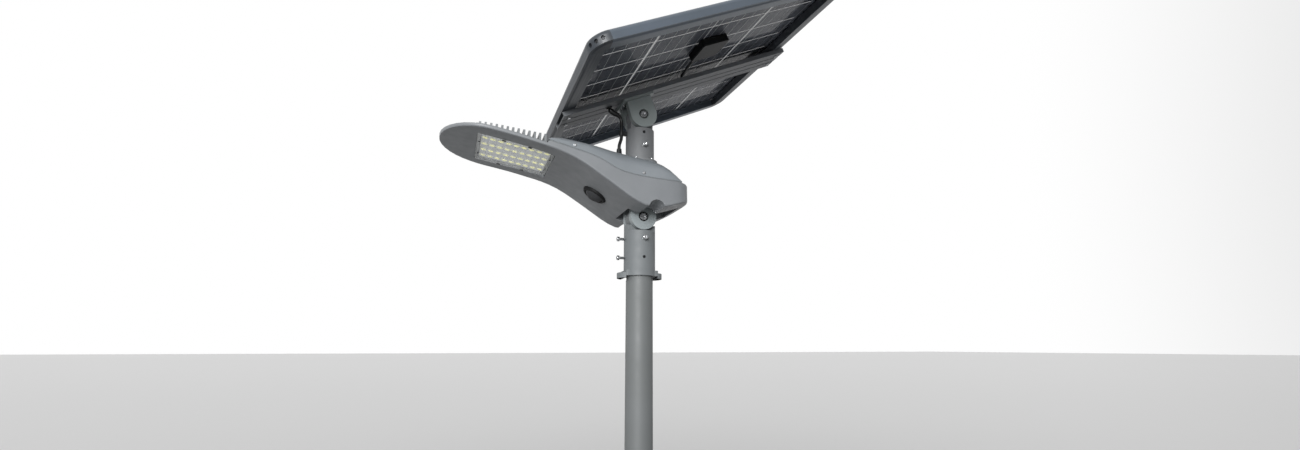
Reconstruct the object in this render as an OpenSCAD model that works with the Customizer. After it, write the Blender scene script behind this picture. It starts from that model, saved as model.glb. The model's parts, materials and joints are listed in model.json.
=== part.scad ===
// Solar street lamp: LED head with battery bay, tilting on a pole sleeve,
// with a swivelling column that carries a tilting double-glass solar panel.
// Millimetres. Z is up along the pole, the nose of the head points to -X.

/* [Pole] */
// Outside diameter of the pole tube
pole_d = 68; // [60:1:76]
// Wall of the pole tube
pole_wall = 3.5; // [2:0.5:6]
// Length of pole below the sleeve
pole_exposed = 490; // [300:10:900]
// Play between pole and sleeve
pole_gap = 0.5; // [0.3:0.1:1]
// How much the pole's end is turned down to enter the sleeve
turned_depth = 1; // [0.8:0.1:2]
// How far the turned end shows below the sleeve
turned_clear = 10; // [5:1:30]

/* [Sleeve] */
// Wall of the cast sleeve
sleeve_wall = 6.5; // [5:0.5:9]
// Height of the tilt axis above the sleeve's lower edge
sleeve_height = 150; // [140:5:220]
// Metal between the pole's end and the knuckle
socket_roof = 14; // [8:1:24]
// Reach of the two cable lugs at the lower edge, from the axis
lug_reach = 58; // [54:1:64]
// Height of the lugs
lug_height = 14; // [8:1:28]
// How far the lugs hang below the sleeve's lower edge
lug_drop = 6; // [0:1:8]
// Width of each lug across the pole
lug_width = 54; // [44:1:60]

/* [Knuckles] */
// Radius of both knuckle discs
knuckle_r = 34; // [28:1:38]
// Width of the tongue between the ears
tongue_w = 34; // [24:1:40]
// Thickness of each ear
ear_w = 18; // [12:1:22]
// Side play between tongue and ear
ear_gap = 0.4; // [0.2:0.1:1]
// Radial room around a knuckle disc
disc_gap = 2; // [1.5:0.5:4]
// Diameter of the pivot bolts
bolt_d = 12; // [8:1:16]
// Radial play of a pivot bolt in its bore
bolt_gap = 0.05; // [0.02:0.01:0.1]
// Diameter of the clamping screws
screw_d = 8; // [6:1:10]
// How far a clamping screw's head stands out from its casting
screw_reach = 20; // [14:1:26]

/* [Head] */
// Length of the head, nose to tail
head_length = 602; // [560:2:680]
// Distance of the tail behind the tilt axis
tail_length = 102; // [100:1:120]
// Full width of the head
head_width = 280; // [250:2:320]
// Length of the rounded nose
nose_length = 115; // [80:1:150]
// Height of the nose above the tilt axis
nose_rise = 161; // [140:1:185]
// Height of the lowest rim above the tilt axis
rim_low = 1; // [0:0.5:5]
// Thickness of the wing at its edge
wing_t = 8.5; // [7:0.5:12]
// Wall of the housing
housing_wall = 5; // [4:0.5:7]
// Wall of the top cover
cover_wall = 3.5; // [2.5:0.5:5]
// Thickness of the seal between housing and cover
seal_t = 1.5; // [1:0.5:2.5]
// Radius of the notches that give access to the pivot bolt
notch_r = 20; // [14:1:22]

/* [Light] */
// Length of the light window
window_length = 182; // [150:1:200]
// Width of the light window
window_width = 188; // [150:1:200]
// Middle of the window, behind the nose
window_back = 174; // [160:1:190]
// Slope of the window, nose high
window_slope = 9.7; // [6:0.1:12]
// Thickness of the clear lens plate
lens_t = 3; // [2:0.5:4]
// LED columns along the head
led_columns = 9; // [4:1:14]
// LED rows across the head
led_rows = 4; // [2:1:8]
// Side of one LED
led_size = 10; // [3:0.5:12]
// Number of cooling fins
fin_count = 13; // [8:1:16]
// Thickness of a cooling fin
fin_t = 4.8; // [2:0.2:6]
// Diameter of the motion sensor
sensor_d = 66; // [50:1:76]
// Height of the motion sensor's dome
sensor_h = 13; // [8:1:20]

/* [Battery] */
// Length of the battery pack along the head
battery_length = 78; // [60:1:84]
// Width of the battery pack
battery_width = 190; // [140:2:200]
// Height of the battery pack
battery_height = 46; // [30:1:50]
// Corner radius of the battery pack
battery_r = 8; // [3:1:12]

/* [Column] */
// Height of the panel hinge above the tilt axis
hinge_rise = 276; // [270:1:320]
// Outside diameter of the column
column_d = 75; // [64:1:78]
// Diameter of the spigot inside the column
spigot_d = 58; // [48:1:60]
// Radial play of the column on its spigot
spigot_gap = 0.1; // [0.05:0.01:0.3]
// Height of the column's seat above the tilt axis
seat_rise = 146; // [144:1:156]
// Reach of the round boss under the column past its side
boss_rim = 10.5; // [8:0.5:14]
// Thickness of the spigot's flange
flange_t = 6; // [4:0.5:8]

/* [Panel] */
// Panel size along its slope
panel_length = 700; // [600:5:900]
// Panel size across the head
panel_width = 780; // [600:5:900]
// Slope of the panel at rest
panel_tilt = 24.2; // [15:0.1:30]
// Distance from the hinge to the glass back
glass_rise = 82; // [76:1:100]
// Middle of the panel, up the slope from the hinge
panel_shift = 140; // [80:1:180]
// Width of the frame profile
frame_w = 35; // [28:1:45]
// Depth of the frame profile
frame_h = 28; // [24:1:40]
// How far the frame reaches below the glass
frame_drop = 20; // [14:1:24]
// Outer radius of the frame's corners
corner_r = 44; // [38:1:60]
// Thickness of the back glass
back_glass_t = 2; // [1.6:0.2:4]
// Thickness of the front glass
front_glass_t = 3.2; // [2:0.2:5]
// Thickness of the film that holds the cells
film_t = 0.8; // [0.6:0.1:1.5]
// How deep the glass sits in the frame
glass_bite = 11; // [8:1:14]
// Cells along the slope
cell_columns = 4; // [2:1:8]
// Cells across the slope
cell_rows = 9; // [4:1:16]
// Border between the cells and the panel's outer edge, along the slope
cell_border_u = 34.6; // [28:0.1:50]
// Border between the cells and the panel's outer edge, across the slope
cell_border_y = 37.1; // [28:0.1:50]
// Gap between cells
cell_gap = 2.4; // [1:0.1:4]

/* [Rail] */
// Width of the rail under the panel
rail_w = 95; // [80:1:120]
// Depth of the rail
rail_h = 12; // [8:1:20]
// Wall of the rail
rail_wall = 3; // [2:0.5:5]
// Width of the two grooves along the rail
groove_w = 4.5; // [2:0.5:8]
// Depth of the grooves
groove_d = 1.6; // [0.8:0.2:1.6]
// Thickness of the bracket's plate
plate_t = 6; // [4:0.5:10]
// Length of the bracket's plate along the rail
plate_length = 92; // [80:1:120]

/* [Cable] */
// Diameter of the panel cable
cable_d = 8.5; // [5:0.5:9]
// Diameter of the cable gland
gland_d = 18; // [14:1:24]
// Junction box size along the slope
box_length = 76; // [60:1:110]
// Junction box size across the slope
box_width = 86; // [60:1:100]
// Junction box depth
box_h = 18; // [12:1:19]

/* [Hidden] */
$fn = 64;
// Overshoot of a cut past the face it opens
cut = 1;
// Distance between curved faces that only pass each other
pass_gap = 0.3;
// Heights along the pole
knuckle_z = pole_exposed + sleeve_height;
hinge_z = knuckle_z + hinge_rise;
socket_top = -knuckle_r - disc_gap - socket_roof;
pole_end_r = pole_d / 2 - turned_depth;
sleeve_r = pole_end_r + pole_gap + sleeve_wall;
pole_top_z = knuckle_z + socket_top - pass_gap;
// Knuckle widths
tongue_y = tongue_w / 2;
ear_y = tongue_y + ear_gap;
knuckle_y = ear_y + ear_w;
bolt_bore_r = bolt_d / 2 + bolt_gap;
bolt_head_r = 0.75 * bolt_d;
bolt_recess_r = bolt_head_r + 4;
washer_r = bolt_recess_r - 0.5;
washer_t = 1;
bolt_recess = 0.45 * ear_w;
// Yoke plate and the recess above it
yoke_plate = 10;
yoke_top = knuckle_r + disc_gap + yoke_plate;
yoke_length = 84;
// Ear's web behind the axis, kept short so that it clears the sleeve when the head tilts
web_rear = knuckle_r - 10;
yoke_width = 116;
// Head outline
head_w = head_width / 2;
nose_x = tail_length - head_length;
nose_mid = nose_x + nose_length;
tail_mid = tail_length - 68;
recess_front = -48;
recess_rear = tail_length - 16;
slot_w = yoke_width / 2 + 2;
cover_front = nose_x + 241;
cover_rear = tail_length - 36;
// Rim, seam and crown of the head as heights over the tilt axis, along the head
rim = [[nose_x, nose_rise], [nose_x + 90, nose_rise - 10.5], [nose_x + 210, nose_rise - 32.5],
    [nose_x + 300, nose_rise - 59], [-110, rim_low + 48], [-80, rim_low + 28], [-50, rim_low + 10.5],
    [-30, rim_low + 2], [-10, rim_low], [20, rim_low + 1], [67, rim_low + 15], [tail_length, rim_low + 27]];
seam = [[cover_front, nose_rise - 23], [-189, nose_rise - 39], [-141, nose_rise - 53], [-92, 84], [-36, 74],
    [30, 70], [tail_length, 67]];
crown = [[cover_front, nose_rise - 13], [cover_front + 12, nose_rise - 5], [-215, nose_rise - 2],
    [-134, nose_rise - 9], [-34, 139], [8, 131], [35, 116], [cover_rear - 12, 93],
    [cover_rear, seam_at(cover_rear) + 6]];
fin_top = [[nose_x + 80, nose_rise + 7], [cover_front, nose_rise - 8]];
// Light window
window_x = nose_x + window_back;
window_z = rim_at(window_x) - 1;
lens_rim = 7;
lens_gap = 0.4;
lens_bed = 4;
opening_length = window_length - 2 * lens_rim;
opening_width = window_width - 2 * lens_rim;
board_length = opening_length - 4;
board_width = opening_width - 4;
board_t = 1.6;
board_top = lens_bed + 2 + board_t;
led_t = 1.2;
pad_t = 3.2;
fin_first = nose_x + 88;
fin_last = cover_front - 8;
sink_end = fin_last + 4;
sink_base = 4;
sink_inset = 10;
// Column and spigot
spigot_r = spigot_d / 2;
boss_d = column_d + 2 * boss_rim;
spigot_top = seat_rise + flange_t + 74;
column_foot = seat_rise + flange_t + 0.2;
column_top = hinge_rise - knuckle_r - 2 * disc_gap;
column_roof = spigot_top + 2;
bracket_r = knuckle_r + disc_gap;
// Panel stack, measured from the hinge along the panel's normal
frame_low_n = glass_rise - frame_drop;
rail_n = frame_low_n - rail_h;
plate_n = rail_n - plate_t;
film_n = glass_rise + back_glass_t;
front_n = film_n + film_t;
glass_top_n = front_n + front_glass_t;
glass_clear = 0.2;
frame_skin = 3;
panel_low = panel_shift - panel_length / 2;
panel_high = panel_shift + panel_length / 2;
glass_length = panel_length - 2 * (frame_w - glass_bite);
glass_width = panel_width - 2 * (frame_w - glass_bite);
glass_r = corner_r - frame_w + glass_bite;
cell_pitch_u = (panel_length - 2 * cell_border_u + cell_gap) / cell_columns;
cell_pitch_y = (panel_width - 2 * cell_border_y + cell_gap) / cell_rows;
cell_length = cell_pitch_u - cell_gap;
cell_width = cell_pitch_y - cell_gap;
// Cable runs: points to the gland, the column clip and the rail, from the tilt axis
cable_y = -4;
gland_x = -boss_d / 2 - 10;
clip_z = 226;
box_u = panel_shift + 29;
box_y = -178;
lead_u = box_u - box_length / 2 + 20;
lead_nozzle = 8;
lead_y = box_y + box_width / 2 + lead_nozzle;
lead_end = 8 - rail_w / 2;
lead_n = glass_rise - box_h / 2;
clip_x = gland_x + 6;
lower_route = [[gland_x, -4, 182], [gland_x, -4, 188], [gland_x + 1, -4, 195], [gland_x + 3, -4, 202],
    [clip_x - 1, -4, 209], [clip_x, -4, 215], [clip_x, -4, 219.7]];
upper_route = [[clip_x, -4, 232], [clip_x, -4, 248], [clip_x - 0.5, -4.5, 258], [-55.5, -5.5, 267],
    [-61.5, -7, 273], [-69, -8.5, 276], [-77, -9.5, 278.5], [-83, -10, 282.5], [-87, -10, 289]];
lead_route = [for (p = [[0, 0, 0], [0, 0.12, 0], [-1.5, 0.27, -0.5], [-2.5, 0.42, -1.5],
    [-3.5, 0.57, -2.5], [-4.5, 0.71, -3.5], [-5.5, 0.82, -4.5], [-6, 0.92, -6], [-6.5, 1, -9],
    [-7, 1.05, -13]])
    [lead_u + p.x, lead_y + p.y * (lead_end - lead_y), lead_n + p.z]];

// Smooth height through control points, by cubic spans with averaged slopes
function span(p, x, i = 0) = (i >= len(p) - 2 || x < p[i + 1].x) ? i : span(p, x, i + 1);
function grade(p, i) =
    let (a = max(0, i - 1), b = min(len(p) - 1, i + 1))
    (p[b].y - p[a].y) / (p[b].x - p[a].x);
function height(p, x) =
    let (i = span(p, x), h = p[i + 1].x - p[i].x, t = (x - p[i].x) / h)
    p[i].y * (2 * t * t * t - 3 * t * t + 1) + grade(p, i) * h * (t * t * t - 2 * t * t + t)
    + p[i + 1].y * (3 * t * t - 2 * t * t * t) + grade(p, i + 1) * h * (t * t * t - t * t);
function rim_at(x) = height(rim, x);
function seam_at(x) = height(seam, x);
function crown_at(x) = height(crown, x);
// Upper face of the housing: thin wing in front, seam behind the cover's front
function deck_at(x) = x < cover_front ? rim_at(x) + wing_t : seam_at(x) - seal_t;
// Half width of the head along its length
function half_width(x) =
    x < nose_mid ? head_w * sqrt(max(0, 1 - pow((nose_mid - x) / nose_length, 2)))
    : x > tail_mid ? head_w * pow(max(0, 1 - pow((x - tail_mid) / (tail_length - tail_mid), 3)), 1 / 3)
    : head_w;
// Places along the head where its cross-section is drawn
nose_steps = [for (a = [7 : 10.375 : 90]) nose_mid - nose_length * cos(a)];
tail_steps = [for (a = [0.3, 0.5, 0.66, 0.8, 0.9, 0.96, 0.99]) tail_mid + (tail_length - tail_mid) * a];
wing_steps = [for (i = [1 : 6]) nose_mid + (cover_front - 4 - nose_mid) * i / 6];
bay_steps = [for (i = [0 : 14]) cover_front + (tail_mid - cover_front) * i / 14];
head_steps = concat(nose_steps, wing_steps, bay_steps, tail_steps);
cover_steps = concat([cover_front, cover_front + 3, cover_front + 7], [for (i = [1 : 22])
    cover_front + 7 + (cover_rear - cover_front - 7) * i / 22]);
// Housing's upper face as drawn, [x, z] from one place to another
deck = [for (x = head_steps) [x, deck_at(x)]];
function deck_line(x0, x1) = concat([[x0, lookup(x0, deck)]],
    [for (p = deck) if (p.x > x0 && p.x < x1) p], [[x1, lookup(x1, deck)]]);

// Cross-section rings, each [y, z], from the floor up one side and down the other
function mirrored(half) = concat(half, [for (i = [len(half) - 1 : -1 : 0]) if (half[i].x > 0)
    [-half[i].x, half[i].y]]);
function rounded(y, z0, z1, r0, r1) = mirrored(concat(
    [for (a = [0 : 30 : 90]) [y - r0 + r0 * sin(a), z0 + r0 - r0 * cos(a)]],
    [for (a = [0 : 30 : 90]) [y - r1 + r1 * cos(a), z1 - r1 + r1 * sin(a)]]));
function domed(y, z0, z1, n, steps) = mirrored(concat([[y, z0]],
    [for (i = [1 : steps])
        let (a = 90 * i / steps, s = pow(sin(a), 2 / n), c = i == steps ? 0 : pow(cos(a), 2 / n))
        [y * c, z0 + (z1 - z0) * s]]));

// Solid through a list of rings of equal length, each [x, [[y, z], ...]], closed by a fan at each end
module loft(rings) {
    n = len(rings[0][1]);
    last = len(rings) - 1;
    middle = [for (k = [0, last]) [rings[k].x, 0, (rings[k][1][0].y + rings[k][1][ceil(n / 2) - 1].y) / 2]];
    points = concat([for (r = rings, p = r[1]) [r.x, p.x, p.y]], middle);
    sides = [for (k = [0 : last - 1], i = [0 : n - 1], half = [0, 1])
        let (a = k * n + i, b = k * n + (i + 1) % n)
        half == 0 ? [a, b + n, b] : [a, a + n, b + n]];
    front = [for (i = [0 : n - 1]) [i, (i + 1) % n, len(points) - 2]];
    back = [for (i = [0 : n - 1]) [last * n + (i + 1) % n, last * n + i, len(points) - 1]];
    polyhedron(points, concat(sides, front, back), convexity = 6);
}

// Round tube along a list of points, from flat end to flat end
module tube(route, d, sides = 8) {
    n = len(route);
    way = [for (i = [0 : n - 1]) unit(route[min(n - 1, i + 1)] - route[max(0, i - 1)])];
    side = [for (w = way) unit(cross(w, [0.1, 1, 0.05]))];
    points = [for (i = [0 : n - 1], k = [0 : sides - 1]) let (a = 360 * k / sides)
        route[i] + d / 2 * (side[i] * cos(a) + cross(way[i], side[i]) * sin(a))];
    walls = [for (i = [0 : n - 2], k = [0 : sides - 1], half = [0, 1])
        let (a = i * sides + k, b = i * sides + (k + 1) % sides)
        half == 0 ? [a, b + sides, b] : [a, a + sides, b + sides]];
    start = [for (k = [0 : sides - 1]) k];
    end = [for (k = [sides - 1 : -1 : 0]) (n - 1) * sides + k];
    polyhedron(points, concat(walls, [start], [end]), convexity = 4);
}
function unit(v) = v / norm(v);

// Upright prism with the head's outline drawn in by inset, between two places
module outline(inset, x0, x1) {
    steps = concat([x0], [for (x = head_steps) if (x > x0 + 1 && x < x1 - 1) x], [x1]);
    linear_extrude(2 * nose_rise)
        polygon(concat([for (x = steps) [x, half_width(x) - inset]],
            [for (i = [len(steps) - 1 : -1 : 0]) [steps[i], inset - half_width(steps[i])]]));
}
// Prism across the head with the side view given as [x, z] points
module side_prism(points, y0, y1) {
    translate([0, y1, 0])
        rotate([90, 0, 0])
            linear_extrude(y1 - y0)
                polygon(points);
}
// Cylinder across the head at [x, z]
module cross_bar(r, y0, y1, x = 0, z = 0) {
    translate([x, y1, z])
        rotate([90, 0, 0])
            cylinder(r = r, h = y1 - y0);
}
// Block given by its two corners
module block(low, high) {
    translate(low)
        cube(high - low);
}
// Plate with rounded corners, centred, standing on z = 0
module rounded_plate(size, r, h) {
    linear_extrude(h)
        rounded_rect(size, r);
}
module rounded_rect(size, r) {
    square([size.x - 2 * r, size.y], center = true);
    square([size.x, size.y - 2 * r], center = true);
    for (x = [-1, 1], y = [-1, 1])
        translate([x * (size.x / 2 - r), y * (size.y / 2 - r)])
            circle(r);
}
// Frames of reference
module at_knuckle() {
    translate([0, 0, knuckle_z])
        children();
}
module on_panel() {
    translate([0, 0, hinge_z])
        rotate([0, -panel_tilt, 0])
            children();
}
// Light window's frame, from the tilt axis and from the pole's foot: z points up into the head
module in_window() {
    translate([window_x, 0, window_z])
        rotate([0, window_slope, 0])
            children();
}
module on_window() {
    at_knuckle()
        in_window()
            children();
}

// Pole and sleeve
module pole_top() {
    color("#7d8080")
        difference() {
            union() {
                cylinder(d = pole_d, h = pole_exposed - turned_clear);
                cylinder(r = pole_end_r, h = pole_top_z);
            }
            translate([0, 0, -cut])
                cylinder(r = pole_d / 2 - pole_wall, h = pole_top_z + 2 * cut);
        }
}
screw_rows = [-56, -104];
horn_drop = 20;
lug_root = sleeve_r + 1.5;
lug_wall = 12;
lug_bar = 5;
module spigot_sleeve() {
    foot = -sleeve_height;
    color("#82878a")
        at_knuckle()
            difference() {
                union() {
                    translate([0, 0, foot])
                        cylinder(r = sleeve_r, h = sleeve_height - horn_drop);
                    intersection() {
                        cross_bar(knuckle_r, -tongue_y, tongue_y);
                        translate([0, 0, -knuckle_r])
                            cylinder(r = sleeve_r, h = 2 * knuckle_r);
                    }
                    intersection() {
                        translate([0, 0, foot])
                            linear_extrude(lug_height)
                                lug_outline();
                        block([-lug_root, -lug_width, foot - cut],
                            [lug_root, lug_width, foot + lug_height + cut]);
                    }
                    translate([0, 0, foot])
                        cylinder(r = lug_root, h = lug_height);
                }
                translate([0, 0, foot - cut])
                    cylinder(r = pole_end_r + pole_gap, h = socket_top - foot + cut);
                for (s = [0, 1])
                    mirror([0, s, 0])
                        block([-2 * sleeve_r, tongue_y, -knuckle_r - disc_gap],
                            [2 * sleeve_r, 2 * sleeve_r, knuckle_r]);
                cross_bar(bolt_bore_r, -sleeve_r, sleeve_r);
                clamp_places(sleeve_r)
                    cylinder(d = screw_d + 2 * bolt_gap, h = 4 * sleeve_wall, center = true);
            }
}
// Lugs in front of and behind the sleeve's foot, each a loop with an arched slot
module lug_outline() {
    rounded_rect([2 * lug_reach, lug_width], lug_width / 2 - 1);
}
module cable_lugs() {
    slot_half = lug_width / 2 - lug_wall;
    color("#82878a")
        translate([0, 0, pole_exposed - lug_drop])
            for (turn = [0, 180])
                rotate(turn)
                    difference() {
                        intersection() {
                            linear_extrude(lug_height)
                                lug_outline();
                            block([lug_root, -lug_width, -cut], [2 * lug_reach, lug_width, lug_height + cut]);
                        }
                        intersection() {
                            translate([0, 0, -cut])
                                cylinder(r = lug_reach - lug_bar, h = lug_height + 2 * cut);
                            block([0, -slot_half, -cut], [lug_reach, slot_half, lug_height + cut]);
                        }
                    }
}
// Places of the clamping screws: front and both sides, in two rows, axes pointing out
module clamp_places(r, rows = screw_rows, turns = [180, -90, 90]) {
    for (a = turns, z = rows)
        translate([r * cos(a), r * sin(a), z])
            rotate([0, 90, a])
                children();
}
module clamp_screw(r, reach, tip) {
    translate([0, 0, tip - r])
        cylinder(d = screw_d, h = r - tip + reach - 5);
    translate([0, 0, reach - 6])
        difference() {
            cylinder(d = 1.5 * screw_d, h = 6);
            translate([0, 0, 3])
                cylinder(d = 0.8 * screw_d, h = 4, $fn = 6);
        }
}
module grub_screw(r, tip) {
    translate([0, 0, tip - r])
        difference() {
            cylinder(d = screw_d, h = r - tip - 1.2);
            translate([0, 0, r - tip - 4])
                cylinder(d = 0.55 * screw_d, h = 4, $fn = 6);
        }
}
module sleeve_set_screws() {
    tip = pole_end_r + pass_gap;
    color("silver")
        at_knuckle() {
            clamp_places(sleeve_r, turns = [180])
                clamp_screw(sleeve_r, screw_reach, tip);
            clamp_places(sleeve_r, rows = [screw_rows[0]], turns = [-90, 90])
                clamp_screw(sleeve_r, screw_reach - 6, tip);
            clamp_places(sleeve_r, rows = [screw_rows[1]], turns = [-90, 90])
                grub_screw(sleeve_r, tip);
        }
}

// Tilt yoke and its pivot
yoke_screw_x = yoke_length / 2 - 10;
yoke_screw_y = yoke_width / 2 - 9;
module yoke_screw_places() {
    for (x = [-1, 1], y = [-1, 1])
        translate([x * yoke_screw_x, y * yoke_screw_y, 0])
            children();
}
module tilt_yoke() {
    under = yoke_top - yoke_plate;
    color("#7c8486")
        at_knuckle()
            difference() {
                union() {
                    translate([0, 0, under])
                        rounded_plate([yoke_length, yoke_width], 8, yoke_plate);
                    for (s = [0, 1])
                        mirror([0, s, 0]) {
                            cross_bar(knuckle_r, ear_y, knuckle_y);
                            block([-knuckle_r, ear_y, 0], [web_rear, knuckle_y, under + cut]);
                        }
                }
                cross_bar(bolt_bore_r, -knuckle_y - cut, knuckle_y + cut);
                cross_bar(bolt_recess_r, -knuckle_y - cut, bolt_recess - knuckle_y);
                cross_bar(bolt_recess_r, knuckle_y - bolt_recess, knuckle_y + cut);
                yoke_screw_places()
                    translate([0, 0, under - cut])
                        cylinder(d = 6.6, h = yoke_plate + 2 * cut);
            }
}
module yoke_screws() {
    color("silver")
        at_knuckle()
            yoke_screw_places() {
                translate([0, 0, yoke_top - yoke_plate - 5])
                    cylinder(d = 10, h = 5);
                translate([0, 0, yoke_top - yoke_plate - cut])
                    cylinder(d = 6, h = yoke_plate + cut + housing_wall - 1);
            }
}
// Pivot bolt along Y with a socket head on the near side, and its nut on the far side
module pivot_bolt() {
    near = bolt_recess - knuckle_y - washer_t;
    difference() {
        union() {
            cross_bar(bolt_d / 2, near - cut, knuckle_y - 1);
            cross_bar(bolt_head_r, near - 6, near);
        }
        translate([0, near - 3, 0])
            rotate([90, 0, 0])
                cylinder(d = 0.8 * bolt_d, h = 4, $fn = 6);
    }
}
module pivot_nut() {
    translate([0, knuckle_y - bolt_recess + washer_t + 7, 0])
        rotate([90, 0, 0])
            difference() {
                cylinder(r = bolt_head_r, h = 7, $fn = 6);
                translate([0, 0, -cut])
                    cylinder(r = bolt_bore_r, h = 7 + 2 * cut);
            }
}
// Washers under the head and the nut of a pivot bolt
module pivot_washers() {
    for (s = [0, 1])
        mirror([0, s, 0])
            difference() {
                cross_bar(washer_r, knuckle_y - bolt_recess, knuckle_y - bolt_recess + washer_t);
                cross_bar(bolt_bore_r, ear_y, knuckle_y);
            }
}
module knuckle_bolt() {
    color("silver")
        at_knuckle()
            pivot_bolt();
}
module knuckle_nut() {
    color("silver")
        at_knuckle()
            pivot_nut();
}
module knuckle_washers() {
    color("#1d1e20")
        at_knuckle()
            pivot_washers();
}

// Head castings
function housing_ring(x) =
    let (w = half_width(x), z0 = rim_at(x), z1 = deck_at(x))
    rounded(w, z0, z1, min(5, 0.5 * (z1 - z0) - 0.5, w / 2), min(2, 0.3 * (z1 - z0), w / 3));
bay_front = cover_front + 9;
bay_rear = cover_rear - 6;
bay_floor = yoke_top + housing_wall;
bay_step = recess_front - housing_wall;
notch_z = rim_low - 3;
module lower_housing() {
    floor_steps = [for (i = [0 : 14]) bay_front + (bay_rear - bay_front) * i / 14];
    color("#6a6c6e")
        at_knuckle()
            difference() {
                loft([for (x = head_steps) [x, housing_ring(x)]]);
                // Battery bay, open at the top, with walls left round the slot and the bolt channel
                difference() {
                    intersection() {
                        outline(housing_wall, bay_front, bay_rear);
                        side_prism(concat([for (x = floor_steps) [x, rim_at(x) + housing_wall]],
                            [[bay_rear, nose_rise], [bay_front, nose_rise]]), -head_w, head_w);
                    }
                    block([bay_step, -slot_w - housing_wall, -cut],
                        [bay_rear + cut, slot_w + housing_wall, bay_floor]);
                    cross_bar(notch_r + housing_wall, -head_w, head_w, 0, notch_z);
                }
                // Slot under the tail for the yoke and the swinging sleeve
                block([recess_front, -slot_w, -cut], [recess_rear, slot_w, yoke_top]);
                // Channel through both sides to the pivot bolt
                cross_bar(notch_r, -head_w - cut, head_w + cut, 0, notch_z);
                // Light window with the bed of its lens
                in_window() {
                    translate([0, 0, -20])
                        rounded_plate([window_length, window_width], 6, 20 + lens_bed);
                    rounded_plate([opening_length, opening_width], 3, 30);
                }
                // Flat seat and neck hole of the motion sensor
                sensor_place() {
                    translate([0, 0, sensor_seat - 12])
                        cylinder(d = sensor_d + 1, h = 12);
                    cylinder(d = 0.5 * sensor_d, h = 4 * housing_wall);
                }
                yoke_screw_places()
                    translate([0, 0, yoke_top - cut])
                        cylinder(d = 6.2, h = housing_wall);
            }
}
sensor_x = -120;
sensor_seat = 1.2;
sensor_base_t = 7;
sensor_eye_r = sensor_d / 2 - 8;
sensor_slope = -atan((rim_at(sensor_x + 10) - rim_at(sensor_x - 10)) / 20);
// Motion sensor's frame: z points up into the housing from the sloping floor
module sensor_place() {
    translate([sensor_x, 0, rim_at(sensor_x)])
        rotate([0, sensor_slope, 0])
            children();
}
module sensor_base() {
    color("#1d1e20")
        at_knuckle()
            sensor_place()
                difference() {
                    union() {
                        translate([0, 0, sensor_seat - sensor_base_t])
                            cylinder(d1 = sensor_d - 6, d2 = sensor_d, h = sensor_base_t);
                        cylinder(d = 0.5 * sensor_d - 1, h = 2 * housing_wall);
                    }
                    translate([0, 0, sensor_seat - sensor_base_t - cut])
                        cylinder(r = sensor_eye_r + 0.3, h = 3 + cut);
                }
}
module sensor_dome() {
    bow = (sensor_eye_r * sensor_eye_r + sensor_h * sensor_h) / (2 * sensor_h);
    color("#2b2c2e")
        at_knuckle()
            sensor_place()
                translate([0, 0, sensor_seat - sensor_base_t + 3])
                    rotate_extrude()
                        intersection() {
                            translate([0, bow - sensor_h])
                                circle(bow);
                            translate([0, -sensor_h - cut])
                                square([sensor_eye_r + cut, sensor_h + cut]);
                        }
}
function cover_ring(x, skin) =
    let (w = half_width(x) - skin, z0 = seam_at(x) - 3 * skin, z1 = crown_at(x) - skin)
    domed(w, z0, z1, 3, 9);
module top_cover() {
    hollow = [for (x = cover_steps) if (x > cover_front + cover_wall && x < bay_rear - 2) x];
    color("#8a9194")
        at_knuckle()
            difference() {
                union() {
                    loft([for (x = cover_steps) [x, cover_ring(x, 0)]]);
                    translate([0, 0, seam_at(0) + flange_t])
                        cylinder(d = boss_d, h = seat_rise - seam_at(0) - flange_t);
                }
                loft([for (x = hollow) [x, cover_ring(x, cover_wall)]]);
                translate([gland_x, cable_y, seam_at(gland_x)])
                    cylinder(d = gland_d - 6, h = nose_rise);
                cover_screw_places() {
                    cylinder(d = 9, h = 5);
                    translate([0, 0, -8])
                        cylinder(d = 4.4, h = 10);
                }
            }
}
module cover_seal() {
    under = deck_line(cover_front, cover_rear);
    color("#26282a")
        at_knuckle()
            intersection() {
                difference() {
                    outline(1, cover_front + 1, cover_rear - 1);
                    outline(housing_wall - 0.5, bay_front - 1, bay_rear + 1);
                }
                side_prism(concat(under, [for (i = [len(cover_steps) - 1 : -1 : 0])
                    [cover_steps[i], seam_at(cover_steps[i])]]), -head_w, head_w);
            }
}
cover_screw_x = [cover_front + 59, -33];
// Side screws of the cover: z points out from the bottom of each spot face
module cover_screw_places() {
    for (x = cover_screw_x, s = [-1, 1])
        translate([x, s * (head_w - 1.4), seam_at(x) + 7])
            rotate([s * -90, 0, 0])
                children();
}
module cover_screws() {
    color("silver")
        at_knuckle()
            cover_screw_places() {
                cylinder(d = 7, h = 2.4);
                translate([0, 0, -6])
                    cylinder(d = 4, h = 7);
            }
}
module battery_pack() {
    color("#3f6f9a")
        at_knuckle()
            translate([bay_step + battery_length / 2 + 6, 0, bay_floor])
                rounded_plate([battery_length, battery_width], battery_r, battery_height);
}
controller_size = [64, 120];
module_size = [40, 34];
module_h = 9;
module charge_controller() {
    low = bay_floor + battery_height;
    color("#2f6b45")
        at_knuckle()
            translate([bay_step + battery_length / 2 + 6, 0, low]) {
                rounded_plate(controller_size, 3, board_t);
                for (s = [-1, 1])
                    translate([0, s * module_size.y, board_t])
                        rounded_plate(module_size, 2, module_h);
            }
}

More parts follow.
